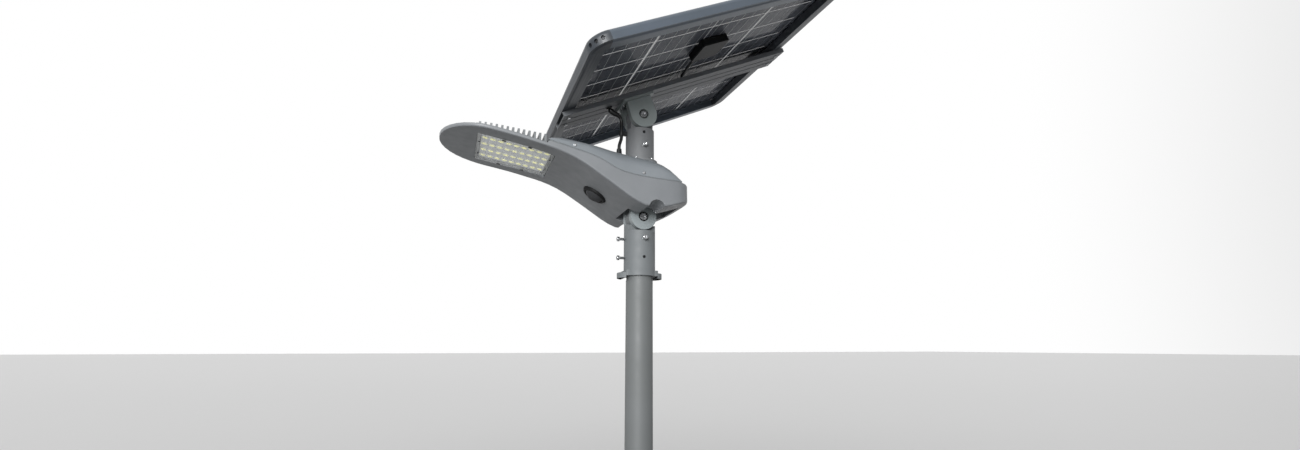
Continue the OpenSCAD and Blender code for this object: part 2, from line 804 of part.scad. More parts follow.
// Light engine
module heat_sink() {
    base = deck_line(fin_first - 8, sink_end);
    pitch = (fin_last - fin_first) / (fin_count - 1);
    color("#7f8588")
        at_knuckle()
            difference() {
                union() {
                    intersection() {
                        outline(sink_inset, base[0].x - cut, base[len(base) - 1].x + cut);
                        union() {
                            side_prism(concat(base, [for (i = [len(base) - 1 : -1 : 0])
                                base[i] + [0, sink_base]]), -head_w, head_w);
                            for (i = [0 : fin_count - 1])
                                let (x = fin_first + i * pitch, z = deck_at(x))
                                block([x - fin_t / 2, -head_w, z + 2],
                                    [x + fin_t / 2, head_w, max(z + sink_base + 1, height(fin_top, x))]);
                        }
                    }
                    in_window()
                        translate([0, 0, board_top])
                            rounded_plate([board_length, board_width], 3, pad_t);
                }
                in_window()
                    rounded_plate([opening_length, opening_width], 3, board_top);
                // Room behind the base for the cover's seal
                block([sink_end, -head_w, -cut], [0, head_w, 2 * nose_rise]);
            }
}
module led_board() {
    color("#e9e6d8")
        on_window()
            translate([0, 0, board_top - board_t])
                rounded_plate([board_length, board_width], 3, board_t);
}
module led_chips() {
    step_x = board_length / led_columns;
    step_y = board_width / led_rows;
    color("#e8d766")
        on_window()
            for (i = [0 : led_columns - 1], j = [0 : led_rows - 1])
                translate([(i + 0.5) * step_x - board_length / 2, (j + 0.5) * step_y - board_width / 2,
                    board_top - board_t - led_t])
                    translate([-led_size / 2, -led_size / 2, 0])
                        cube([led_size, led_size, led_t]);
}
module lens_plate() {
    color([0.85, 0.9, 0.92, 0.5])
        on_window()
            translate([0, 0, lens_bed - 1 - lens_t])
                rounded_plate([window_length - 2 * lens_gap, window_width - 2 * lens_gap], 5, lens_t);
}
module lens_gasket() {
    color("#303234")
        on_window()
            translate([0, 0, lens_bed - 1])
                linear_extrude(1)
                    difference() {
                        rounded_rect([window_length - 2 * lens_gap, window_width - 2 * lens_gap], 5);
                        rounded_rect([opening_length, opening_width], 3);
                    }
}
module lens_clips() {
    color("#38393b")
        on_window()
            for (x = [-1, 1], s = [-1, 1])
                translate([x * window_length / 6, s * (window_width / 2 - 3), lens_bed - 1 - lens_t - 1.5])
                    rounded_plate([9, 6], 1.5, 1.5);
}

// Column between head and panel
spigot_screw_r = (column_d + boss_d) / 4 - 1;
module spigot_screw_places() {
    for (a = [60, 120, 240, 300])
        translate([spigot_screw_r * cos(a), spigot_screw_r * sin(a), seat_rise])
            children();
}
module column_spigot() {
    color("#7b8183")
        at_knuckle()
            difference() {
                union() {
                    translate([0, 0, seat_rise])
                        cylinder(d = boss_d - 4, h = flange_t);
                    translate([0, 0, seat_rise])
                        cylinder(r = spigot_r, h = spigot_top - seat_rise);
                }
                translate([0, 0, seat_rise - cut])
                    cylinder(r = spigot_r - 5, h = spigot_top - seat_rise + 2 * cut);
                spigot_screw_places()
                    translate([0, 0, -cut])
                        cylinder(d = 4.4, h = flange_t + 2 * cut);
            }
}
module spigot_screws() {
    color("silver")
        at_knuckle()
            spigot_screw_places() {
                translate([0, 0, flange_t])
                    cylinder(d = 7, h = 3);
                cylinder(d = 4, h = flange_t + 1);
            }
}
column_rows = [190, 225];
module panel_column() {
    color("#5f6264")
        at_knuckle()
            difference() {
                union() {
                    translate([0, 0, column_foot])
                        cylinder(d = column_d, h = column_top - column_foot);
                    translate([0, 0, hinge_rise])
                        cross_bar(knuckle_r, -tongue_y, tongue_y);
                    block([-knuckle_r + 4, -tongue_y, column_top - cut],
                        [knuckle_r - 4, tongue_y, hinge_rise]);
                }
                translate([0, 0, column_foot - cut])
                    cylinder(r = spigot_r + spigot_gap, h = column_roof - column_foot + cut);
                translate([0, 0, hinge_rise])
                    cross_bar(bolt_bore_r, -column_d, column_d);
                clamp_places(column_d / 2, column_rows, [-90, 90])
                    cylinder(d = screw_d + 2 * bolt_gap, h = column_d - 2 * spigot_r + 4, center = true);
            }
}
module column_set_screws() {
    tip = spigot_r + pass_gap;
    color("silver")
        at_knuckle() {
            clamp_places(column_d / 2, [column_rows[0]], [-90, 90])
                clamp_screw(column_d / 2, screw_reach - 8, tip);
            clamp_places(column_d / 2, [column_rows[1]], [-90, 90])
                grub_screw(column_d / 2, tip);
        }
}

// Panel bracket and rail, in the panel's own frame
bracket_screw_u = plate_length / 2 - 9;
bracket_screw_y = tongue_w / 2 - 7.5;
plate_mid = 4;
module bracket_screw_places() {
    for (u = [-1, 1], s = [-1, 1])
        translate([plate_mid + u * bracket_screw_u, s * bracket_screw_y, 0])
            children();
}
module panel_bracket() {
    color("#656c6c")
        on_panel()
            difference() {
                union() {
                    translate([plate_mid, 0, plate_n])
                        rounded_plate([plate_length, rail_w - 8], 6, plate_t);
                    for (s = [0, 1])
                        mirror([0, s, 0]) {
                            cross_bar(bracket_r, ear_y, knuckle_y);
                            side_prism([[-bracket_r, 0], [bracket_r, 0], [bracket_r + 3, plate_n + cut],
                                [6 - bracket_r, plate_n + cut]], ear_y, knuckle_y);
                        }
                }
                cross_bar(bolt_bore_r, -knuckle_y - cut, knuckle_y + cut);
                cross_bar(bolt_recess_r, -knuckle_y - cut, bolt_recess - knuckle_y);
                cross_bar(bolt_recess_r, knuckle_y - bolt_recess, knuckle_y + cut);
                bracket_screw_places()
                    translate([0, 0, plate_n - cut])
                        cylinder(d = 6.6, h = plate_t + 2 * cut);
            }
}
module bracket_bolt() {
    color("silver")
        on_panel()
            pivot_bolt();
}
module bracket_nut() {
    color("silver")
        on_panel()
            pivot_nut();
}
module bracket_washers() {
    color("#1d1e20")
        on_panel()
            pivot_washers();
}
module bracket_screws() {
    color("silver")
        on_panel()
            bracket_screw_places() {
                translate([0, 0, plate_n - 4])
                    cylinder(d = 10, h = 4);
                translate([0, 0, plate_n - cut])
                    cylinder(d = 6, h = plate_t + rail_wall + cut);
                translate([0, 0, rail_n + rail_wall])
                    cylinder(d = 10, h = 4, $fn = 6);
            }
}
grommet_u = -74;
grommet_y = -10;
grommet_r = cable_d / 2 + 4;
module panel_rail() {
    color("#6d7275")
        on_panel()
            difference() {
                translate([panel_low, 0, rail_n])
                    rotate([90, 0, 90])
                        linear_extrude(panel_length)
                            difference() {
                                translate([-rail_w / 2, 0])
                                    square([rail_w, rail_h]);
                                translate([-rail_w / 2 + rail_wall, rail_wall])
                                    square([rail_w - 2 * rail_wall, rail_h]);
                                for (y = [-1, 1])
                                    translate([y * rail_w / 6, 0])
                                        square([groove_w, 2 * groove_d], center = true);
                            }
                bracket_screw_places()
                    translate([0, 0, rail_n - cut])
                        cylinder(d = 6.6, h = rail_wall + 2 * cut);
                translate([grommet_u, grommet_y, rail_n - cut])
                    cylinder(r = grommet_r - 2, h = rail_wall + 2 * cut);
                rail_screw_places()
                    translate([0, 0, rail_n - cut])
                        cylinder(d = 5.4, h = rail_h);
            }
}
module rail_screw_places() {
    for (u = [panel_low + frame_w / 2, panel_high - frame_w / 2], s = [-1, 1])
        translate([u, s * rail_w / 4, 0])
            children();
}
module rail_screws() {
    color("silver")
        on_panel()
            rail_screw_places() {
                translate([0, 0, rail_n - 3])
                    cylinder(d = 9, h = 3);
                translate([0, 0, rail_n - cut])
                    cylinder(d = 5, h = rail_h + cut);
            }
}

// Panel frame: rounded profile, drawn with its inner edge at x = 0 and its foot at y = 0
module frame_profile(chambers) {
    round_r = frame_h / 2 - 2;
    difference() {
        union() {
            square([frame_w - round_r, frame_h]);
            translate([frame_w - round_r, 2])
                square([round_r, frame_h - 4 - round_r]);
            translate([frame_w - round_r, frame_h - round_r])
                circle(round_r);
            translate([frame_w - round_r, round_r])
                circle(round_r);
        }
        translate([-cut, frame_drop - glass_clear])
            square([glass_bite + cut + glass_clear, glass_top_n - glass_rise + 2 * glass_clear]);
        if (chambers) {
            translate([frame_skin, frame_skin])
                square([glass_bite - frame_skin, frame_drop - 2 * frame_skin]);
            translate([glass_bite + frame_skin, frame_skin + 1])
                square([frame_w - glass_bite - 2 * frame_skin - 2, frame_h - 2 * frame_skin - 3]);
        }
    }
}
// Straight run of the profile, its inner edge at distance from the panel's middle
module frame_run(turn, inner, length) {
    translate([panel_shift, 0, frame_low_n])
        rotate(turn)
            translate([inner, length / 2, 0])
                rotate([90, 0, 0])
                    linear_extrude(length)
                        frame_profile(true);
}
run_across = panel_width - 2 * corner_r;
run_along = panel_length - 2 * corner_r;
module frame_low() {
    color("#4a525a")
        on_panel()
            frame_run(180, panel_length / 2 - frame_w, run_across);
}
module frame_high() {
    color("#4a525a")
        on_panel()
            frame_run(0, panel_length / 2 - frame_w, run_across);
}
module frame_near() {
    color("#4a525a")
        on_panel()
            frame_run(-90, panel_width / 2 - frame_w, run_along);
}
module frame_far() {
    color("#4a525a")
        on_panel()
            frame_run(90, panel_width / 2 - frame_w, run_along);
}
module corner_places() {
    for (i = [0 : 3])
        translate([panel_shift + (i == 0 || i == 3 ? 1 : -1) * (panel_length / 2 - corner_r),
            (i < 2 ? 1 : -1) * (panel_width / 2 - corner_r), frame_low_n])
            rotate(90 * i)
                children();
}
corner_turns = [24, 45, 66];
module frame_corners() {
    color("#3b4248")
        on_panel()
            corner_places()
                difference() {
                    rotate_extrude(angle = 90)
                        translate([corner_r - frame_w, 0])
                            frame_profile(false);
                    for (a = corner_turns)
                        rotate(a)
                            translate([corner_r - 5, 0, 0.45 * frame_h])
                                rotate([0, 90, 0])
                                    cylinder(d = 9, h = 8);
                }
}
module corner_screws() {
    color("silver")
        on_panel()
            corner_places()
                for (a = corner_turns)
                    rotate(a)
                        translate([corner_r - 5, 0, 0.45 * frame_h])
                            rotate([0, 90, 0])
                                cylinder(d = 6, h = 2.5);
}

// Double-glass laminate
module back_glass() {
    color([0.3, 0.32, 0.34, 0.6])
        on_panel()
            translate([panel_shift, 0, glass_rise])
                rounded_plate([glass_length, glass_width], glass_r, back_glass_t);
}
module front_glass() {
    color([0.6, 0.68, 0.75, 0.4])
        on_panel()
            translate([panel_shift, 0, front_n])
                rounded_plate([glass_length, glass_width], glass_r, front_glass_t);
}
cell_t = 0.3;
ribbon_w = 1.4;
module solar_cells() {
    color("#2a2d33")
        on_panel()
            for (i = [0 : cell_columns - 1], j = [0 : cell_rows - 1])
                translate([panel_shift + (i - (cell_columns - 1) / 2) * cell_pitch_u,
                    (j - (cell_rows - 1) / 2) * cell_pitch_y, film_n + 0.2])
                    translate([-cell_length / 2, -cell_width / 2, 0])
                        cube([cell_length, cell_width, cell_t]);
}
module cell_ribbons() {
    length = cell_rows * cell_pitch_y + 6;
    color("#c9ccce")
        on_panel()
            for (i = [1 : cell_columns - 1])
                translate([panel_shift + (i - cell_columns / 2) * cell_pitch_u - ribbon_w / 2, -length / 2,
                    film_n + 0.1])
                    cube([ribbon_w, length, cell_t]);
}

// Junction box on the glass back, with its lead into the rail
lid_t = 3;
module junction_box() {
    color("#17181a")
        on_panel() {
            translate([box_u, box_y, glass_rise - box_h + lid_t])
                difference() {
                    rounded_plate([box_length, box_width], 6, box_h - lid_t);
                    translate([0, 0, -cut])
                        rounded_plate([box_length - 6, box_width - 6], 4, box_h - lid_t - 2);
                }
            translate([lead_u, 0, lead_n])
                cross_bar(cable_d / 2 + 2, lead_y - lead_nozzle - cut, lead_y);
        }
}
module junction_lid() {
    color("#1f2022")
        on_panel()
            translate([box_u, box_y, glass_rise - box_h])
                rounded_plate([box_length, box_width], 6, lid_t);
}
module junction_lead() {
    color("#141517")
        on_panel()
            tube(lead_route, cable_d - 1);
}
module rail_grommet() {
    color("#141517")
        on_panel()
            translate([grommet_u, grommet_y, rail_n - 3])
                difference() {
                    union() {
                        cylinder(r = grommet_r, h = 3);
                        cylinder(r = grommet_r - 2.2, h = 3 + rail_wall);
                    }
                    translate([0, 0, -cut])
                        cylinder(d = cable_d + 0.4, h = 4 + rail_wall + cut);
                }
}

// Cable from the head to the panel
module cable_gland() {
    foot = crown_at(gland_x) - cover_wall - 4;
    seat = crown_at(gland_x) + 2;
    nut_h = 8;
    neck = lower_route[0].z;
    color("#17181a")
        at_knuckle()
            translate([gland_x, cable_y, 0]) {
                translate([0, 0, foot])
                    cylinder(d = gland_d - 6.4, h = seat - foot + cut);
                translate([0, 0, seat])
                    cylinder(d = gland_d + 1, h = nut_h, $fn = 6);
                translate([0, 0, seat + nut_h])
                    cylinder(d1 = gland_d, d2 = cable_d + 4, h = neck - seat - nut_h);
            }
}
module lower_cable() {
    color("#141517")
        at_knuckle()
            tube(lower_route, cable_d);
}
module cable_clip() {
    color("#17181a")
        at_knuckle()
            difference() {
                translate([0, 0, clip_z - 6])
                    union() {
                        translate([clip_x, cable_y, 0])
                            cylinder(d = cable_d + 5, h = 12);
                        translate([clip_x, cable_y - 4, 0])
                            cube([-clip_x - column_d / 2 + 3, 8, 12]);
                    }
                translate([0, 0, clip_z - 6 - cut])
                    cylinder(d = column_d, h = 12 + 2 * cut);
            }
}
module upper_cable() {
    color("#141517")
        at_knuckle()
            tube(upper_route, cable_d);
}

pole_top();
spigot_sleeve();
cable_lugs();
sleeve_set_screws();
tilt_yoke();
yoke_screws();
knuckle_bolt();
knuckle_nut();
knuckle_washers();
lower_housing();
heat_sink();
led_board();
led_chips();
lens_plate();
lens_gasket();
lens_clips();
sensor_base();
sensor_dome();
top_cover();
cover_seal();
cover_screws();
battery_pack();
charge_controller();
column_spigot();
spigot_screws();
cable_gland();
lower_cable();
panel_column();
column_set_screws();
cable_clip();
upper_cable();
panel_bracket();
bracket_bolt();
bracket_nut();
bracket_washers();
bracket_screws();
panel_rail();
rail_screws();
frame_low();
frame_high();
frame_near();
frame_far();
frame_corners();
corner_screws();
back_glass();
solar_cells();
cell_ribbons();
front_glass();
junction_box();
junction_lid();
junction_lead();
rail_grommet();
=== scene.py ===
"""Solar street lamp: cables, screws, LEDs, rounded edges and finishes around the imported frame."""

import json
import logging
import math
from dataclasses import dataclass
from enum import Enum

import bmesh
import bpy
from bmesh.types import BMEdge, BMesh, BMFace, BMVert
from bpy.types import Material, Mesh, Node, NodeSocket, NodeTree, Object
from mathutils import Matrix, Vector

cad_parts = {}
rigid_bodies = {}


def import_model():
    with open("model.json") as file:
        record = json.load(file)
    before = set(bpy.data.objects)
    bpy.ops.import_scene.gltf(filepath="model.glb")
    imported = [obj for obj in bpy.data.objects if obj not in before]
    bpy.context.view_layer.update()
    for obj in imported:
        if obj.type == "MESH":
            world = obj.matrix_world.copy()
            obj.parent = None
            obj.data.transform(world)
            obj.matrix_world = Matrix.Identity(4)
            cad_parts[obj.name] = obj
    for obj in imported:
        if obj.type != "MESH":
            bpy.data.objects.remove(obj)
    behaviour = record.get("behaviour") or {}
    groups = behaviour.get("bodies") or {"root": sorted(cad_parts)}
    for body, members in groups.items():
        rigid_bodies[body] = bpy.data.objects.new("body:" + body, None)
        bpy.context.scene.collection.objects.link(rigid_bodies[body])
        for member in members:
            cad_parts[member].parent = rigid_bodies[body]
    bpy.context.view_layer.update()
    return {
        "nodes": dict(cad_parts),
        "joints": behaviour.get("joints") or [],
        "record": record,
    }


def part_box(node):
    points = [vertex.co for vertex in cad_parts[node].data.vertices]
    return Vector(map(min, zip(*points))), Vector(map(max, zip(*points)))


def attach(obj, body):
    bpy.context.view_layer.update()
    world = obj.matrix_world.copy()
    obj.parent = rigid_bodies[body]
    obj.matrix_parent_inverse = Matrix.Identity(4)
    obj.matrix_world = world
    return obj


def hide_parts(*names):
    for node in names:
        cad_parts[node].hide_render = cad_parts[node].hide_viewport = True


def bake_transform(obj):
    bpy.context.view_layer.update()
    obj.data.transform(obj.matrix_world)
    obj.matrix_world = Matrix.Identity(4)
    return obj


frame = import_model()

Span = tuple[float, float]
Triple = tuple[float, float, float]

LOG = logging.getLogger("street_lamp")
MM = 0.001
# Turns a place in millimetres into metres
TO_METRES = Matrix.Scale(MM, 4)
DOWN = Vector((0, 0, -1))
RECORD = frame["record"]
JOINTS = {joint["name"]: joint for joint in frame["joints"]}
BODIES = {node: body for body, nodes in RECORD["behaviour"]["bodies"].items() for node in nodes}
# Heights of the two tilt axes above the pole's foot, in millimetres
KNUCKLE_Z = JOINTS["head_tilt"]["pos_m"][2] / MM
HINGE_Z = JOINTS["panel_tilt"]["pos_m"][2] / MM
# Slope of the panel at rest, in degrees
PANEL_TILT = 24.2
# Panel's own frame in millimetres: x up its slope, y across, z out through the front glass
PANEL_SPACE = Matrix.Translation((0, 0, HINGE_Z)) @ Matrix.Rotation(math.radians(-PANEL_TILT), 4, "Y")
# Points of a mesh that are closer than this are one
MERGE_MM = 0.002
# Faces that turn by less than this lie in one flat
FLAT_DEG = 0.5
# Most of a noise's values lie between these two
NOISE_LOW = 0.3
NOISE_HIGH = 0.7
# Refractive index of window glass; polycarbonate and silicone are near it
GLASS_IOR = 1.52
# Waist of a cross recess between two wings, as a share of a wing's reach
CROSS_WAIST = 0.35


def linear(colour: str) -> tuple[float, ...]:
    """Turns an sRGB hex colour into linear light, by the sRGB standard's curve.

    Args:
        colour: The colour as #rrggbb.

    Returns:
        Red, green, blue and an alpha of 1.
    """
    parts = [int(colour[i:i + 2], 16) / 255 for i in (1, 3, 5)]
    return (*(p / 12.92 if p <= 0.04045 else ((p + 0.055) / 1.055) ** 2.4 for p in parts), 1.0)


def per_metre(size_mm: float) -> float:
    """Returns the texture scale at which a pattern repeats about every size_mm."""
    return 1 / (size_mm * MM)


def add_node(tree: NodeTree, kind: str, inputs: dict | None = None, **settings: object) -> Node:
    """Adds a shader node with its settings and links.

    Args:
        tree: The node tree that gets the node.
        kind: The node's type name, after ShaderNode.
        inputs: Socket name or index to a value, or to an output socket that is linked to it.
        **settings: Attributes of the node itself.

    Returns:
        The new node.
    """
    node = tree.nodes.new("ShaderNode" + kind)
    for name, value in settings.items():
        setattr(node, name, value)
    for name, value in (inputs or {}).items():
        if isinstance(value, NodeSocket):
            tree.links.new(value, node.inputs[name])
        else:
            node.inputs[name].default_value = value
    return node


@dataclass
class Surface:
    """The nodes and the shader of one material, and the ways in which a finish draws on them."""

    tree: NodeTree
    shader: Node

    def blotches(self, size_mm: float, detail: float = 3.0, turn: Triple = (0.0, 0.0, 0.0),
                 stretch: Triple = (1.0, 1.0, 1.0)) -> NodeSocket:
        """Adds a soft random pattern on Object coordinates.

        Args:
            size_mm: About the width of one blotch.
            detail: Octaves of finer blotches.
            turn: Turn of the pattern, in radians.
            stretch: Scale of the pattern along each turned axis.

        Returns:
            The pattern's value.
        """
        place = add_node(self.tree, "TexCoord").outputs["Object"]
        if any(turn) or stretch != (1.0, 1.0, 1.0):
            place = add_node(self.tree, "Mapping", {
                "Vector": place, "Rotation": turn, "Scale": stretch}, vector_type="POINT").outputs["Vector"]
        return add_node(self.tree, "TexNoise", {
            "Vector": place, "Scale": per_metre(size_mm), "Detail": detail}).outputs["Fac"]

    def two_tone(self, value: NodeSocket, low: str, high: str) -> NodeSocket:
        """Gives the shader a colour that goes from one tone to another with a pattern.

        Args:
            value: The pattern's value.
            low: Hex colour where the pattern is low.
            high: Hex colour where it is high.

        Returns:
            The colour.
        """
        share = add_node(self.tree, "MapRange", {
            "Value": value, "From Min": NOISE_LOW, "From Max": NOISE_HIGH}).outputs["Result"]
        colour = add_node(self.tree, "Mix", {
            0: share, 6: linear(low), 7: linear(high)}, data_type="RGBA").outputs[2]
        self.tree.links.new(colour, self.shader.inputs["Base Color"])
        return colour

    def uneven_gloss(self, value: NodeSocket, roughness: float, span: Span) -> None:
        """Lets the shader's roughness change with a pattern.

        Args:
            value: The pattern's value.
            roughness: The finish's typical roughness.
            span: What the shiniest and the dullest spots add to it.
        """
        rough = add_node(self.tree, "MapRange", {
            "Value": value, "From Min": NOISE_LOW, "From Max": NOISE_HIGH,
            "To Min": roughness + span[0], "To Max": roughness + span[1]}).outputs["Result"]
        self.tree.links.new(rough, self.shader.inputs["Roughness"])

    def relief(self, value: NodeSocket, depth_mm: float, strength: float) -> None:
        """Gives the shader a pattern's relief, with a depth and a share of its full strength."""
        bump = add_node(self.tree, "Bump", {
            "Height": value, "Distance": depth_mm * MM, "Strength": strength})
        self.tree.links.new(bump.outputs["Normal"], self.shader.inputs["Normal"])


@dataclass(frozen=True)
class Finish:
    """One finish: a colour and even values, with clouds of tone and a grain where it has them."""

    name: str
    colour: str
    roughness: float = 0.5
    metallic: float = 0.0
    # Second tone, which the clouds go to, and the width of a cloud
    shade: str = ""
    cloud_mm: float = 0.0
    # Grain in gloss and relief, and what its shiniest and dullest spots add to the roughness
    grain_mm: float = 0.0
    grain_octaves: float = 3.0
    grain_depth_mm: float = 0.0
    grain_strength: float = 0.0
    gloss_span: Span = (0.0, 0.0)
    # Strength of the mirror gloss, of a clear coat over it, and of the finish's own light
    shine: float = 0.5
    coat: float = 0.0
    glow: float = 0.0

    def material(self) -> Material:
        """Makes the finish's material on first use.

        Returns:
            The material, which all pieces with this finish share.
        """
        known = bpy.data.materials.get(self.name)
        if known:
            return known
        made = bpy.data.materials.new(self.name)
        made.use_nodes = True
        tree = made.node_tree
        tree.nodes.clear()
        shader = add_node(tree, "BsdfPrincipled", self.even_values())
        add_node(tree, "OutputMaterial", {"Surface": shader.outputs["BSDF"]})
        self.pattern(Surface(tree, shader))
        return made

    def even_values(self) -> dict:
        """Returns the shader's values that are the same all over, by socket."""
        light = {"Emission Color": linear(self.colour), "Emission Strength": self.glow} if self.glow else {}
        return {"Base Color": linear(self.colour), "Roughness": self.roughness, "Metallic": self.metallic,
                "Specular IOR Level": self.shine, "Coat Weight": self.coat} | light

    def pattern(self, surface: Surface) -> None:
        """Draws the clouds and the grain.

        Args:
            surface: The material's nodes.
        """
        if self.cloud_mm:
            surface.two_tone(surface.blotches(self.cloud_mm), self.colour, self.shade)
        if self.grain_mm:
            grain = self.grain(surface)
            surface.uneven_gloss(grain, self.roughness, self.gloss_span)
            if self.grain_depth_mm:
                surface.relief(grain, self.grain_depth_mm, self.grain_strength)

    def grain(self, surface: Surface) -> NodeSocket:
        """Returns the grain's pattern."""
        return surface.blotches(self.grain_mm, self.grain_octaves)


@dataclass(frozen=True)
class PowderCoat(Finish):
    """Polyester powder coat on cast or drawn metal: satin, with slow clouds and a fine orange peel."""

    cloud_mm: float = 70.0
    # Real orange peel is about 1 mm; it is drawn at 2.2 mm so that it shows
    grain_mm: float = 2.2
    grain_octaves: float = 2.0
    grain_depth_mm: float = 0.08
    grain_strength: float = 0.5
    gloss_span: Span = (-0.05, 0.06)
    # Patches of gloss across one cloud of colour
    patches: int = 3

    def pattern(self, surface: Surface) -> None:
        """Draws the clouds of colour and gloss and the orange peel.

        Args:
            surface: The material's nodes.
        """
        surface.two_tone(surface.blotches(self.cloud_mm, detail=4.0), self.colour, self.shade)
        patches = surface.blotches(self.cloud_mm / self.patches, self.grain_octaves)
        surface.uneven_gloss(patches, self.roughness, self.gloss_span)
        surface.relief(self.grain(surface), self.grain_depth_mm, self.grain_strength)


@dataclass(frozen=True)
class Extrusion(Finish):
    """Anodised aluminium extrusion: satin metal with faint die lines along its run."""

    cloud_mm: float = 90.0
    # Real die lines are about 0.3 mm apart; they are drawn at 1.5 mm so that they show
    grain_mm: float = 1.5
    grain_octaves: float = 2.0
    grain_depth_mm: float = 0.03
    grain_strength: float = 0.35
    gloss_span: Span = (-0.07, 0.09)
    # Scale of the pattern along its lines, which draws them out, and whether they run across the slope
    line_stretch: float = 0.01
    across: bool = False

    def grain(self, surface: Surface) -> NodeSocket:
        """Returns a pattern of die lines that run up the slope, or across it."""
        run = (1.0, self.line_stretch, 1.0) if self.across else (self.line_stretch, 1.0, 1.0)
        return surface.blotches(self.grain_mm, self.grain_octaves, (0.0, math.radians(PANEL_TILT), 0.0), run)


@dataclass(frozen=True)
class TurnedSteel(Finish):
    """Stainless steel as turned and tumbled: bright, with fine uneven gloss."""

    grain_mm: float = 0.9
    grain_depth_mm: float = 0.01
    grain_strength: float = 0.2
    gloss_span: Span = (-0.08, 0.1)


@dataclass(frozen=True)
class Moulded(Finish):
    """Moulded polymer or rubber: satin, with a slow change of tone and the grain of an etched mould."""

    cloud_mm: float = 24.0
    grain_mm: float = 1.4
    grain_depth_mm: float = 0.06
    grain_strength: float = 0.4
    gloss_span: Span = (-0.06, 0.08)


@dataclass(frozen=True)
class ClearGlass(Finish):
    """Coated glass, clear polycarbonate or silicone: a thin veil over what is behind it, faintly hazy."""

    # The grain is the slowly changing haze of handling
    grain_mm: float = 55.0
    grain_octaves: float = 4.0
    gloss_span: Span = (0.0, 0.04)
    # Share of what is behind that the veil hides
    cover: float = 0.2

    def even_values(self) -> dict:
        """Returns the even values, with those that make the shader see-through."""
        return super().even_values() | {"Alpha": self.cover, "IOR": GLASS_IOR}


@dataclass(frozen=True)
class Silicon(Finish):
    """Bifacial silicon cell: a grey rear face with fine printed fingers, and a blue-black front."""

    cloud_mm: float = 60.0
    shine: float = 0.15
    # The glass over the cells is seen mostly by its mirror gloss, which the cells carry as a coat
    coat: float = 0.5
    front: str = "#1b1f27"
    finger: str = "#686c74"
    # Real fingers are about 1.5 mm apart; they are drawn at 5 mm so that they show
    finger_mm: float = 5.0
    # Width of a finger as a share of that distance
    finger_share: float = 0.12

    def pattern(self, surface: Surface) -> None:
        """Draws fingers up the slope and a cloudy tone on the rear face, and a darker front.

        Args:
            surface: The material's nodes.
        """
        tree = surface.tree
        tone = surface.two_tone(surface.blotches(self.cloud_mm), self.colour, self.shade)
        place = add_node(tree, "TexCoord").outputs
        across = add_node(tree, "SeparateXYZ", {"Vector": place["Object"]}).outputs["Y"]
        turns = add_node(tree, "Math", {
            0: across, 1: per_metre(self.finger_mm)}, operation="MULTIPLY").outputs[0]
        step = add_node(tree, "Math", {0: turns}, operation="FRACT").outputs[0]
        mark = add_node(tree, "Math", {0: step, 1: self.finger_share}, operation="LESS_THAN").outputs[0]
        rear = add_node(tree, "Mix", {0: mark, 6: tone, 7: linear(self.finger)}, data_type="RGBA").outputs[2]
        upward = add_node(tree, "SeparateXYZ", {"Vector": place["Normal"]}).outputs["Z"]
        is_front = add_node(tree, "Math", {0: upward, 1: 0.0}, operation="GREATER_THAN").outputs[0]
        sided = add_node(tree, "Mix", {
            0: is_front, 6: rear, 7: linear(self.front)}, data_type="RGBA").outputs[2]
        tree.links.new(sided, surface.shader.inputs["Base Color"])


@dataclass(frozen=True)
class SolderMask(Finish):
    """White solder mask on an aluminium board: satin, with raised copper tracks under it."""

    grain_mm: float = 9.0
    grain_depth_mm: float = 0.05
    grain_strength: float = 0.3
    unevenness: float = 0.25

    def pattern(self, surface: Surface) -> None:
        """Draws the tracks' edges as a pattern of cells, in tone and relief.

        Args:
            surface: The material's nodes.
        """
        place = add_node(surface.tree, "TexCoord").outputs["Object"]
        cells = add_node(surface.tree, "TexVoronoi", {
            "Vector": place, "Scale": per_metre(self.grain_mm), "Randomness": self.unevenness},
            distance="CHEBYCHEV").outputs["Distance"]
        surface.two_tone(cells, self.colour, self.shade)
        surface.relief(cells, self.grain_depth_mm, self.grain_strength)


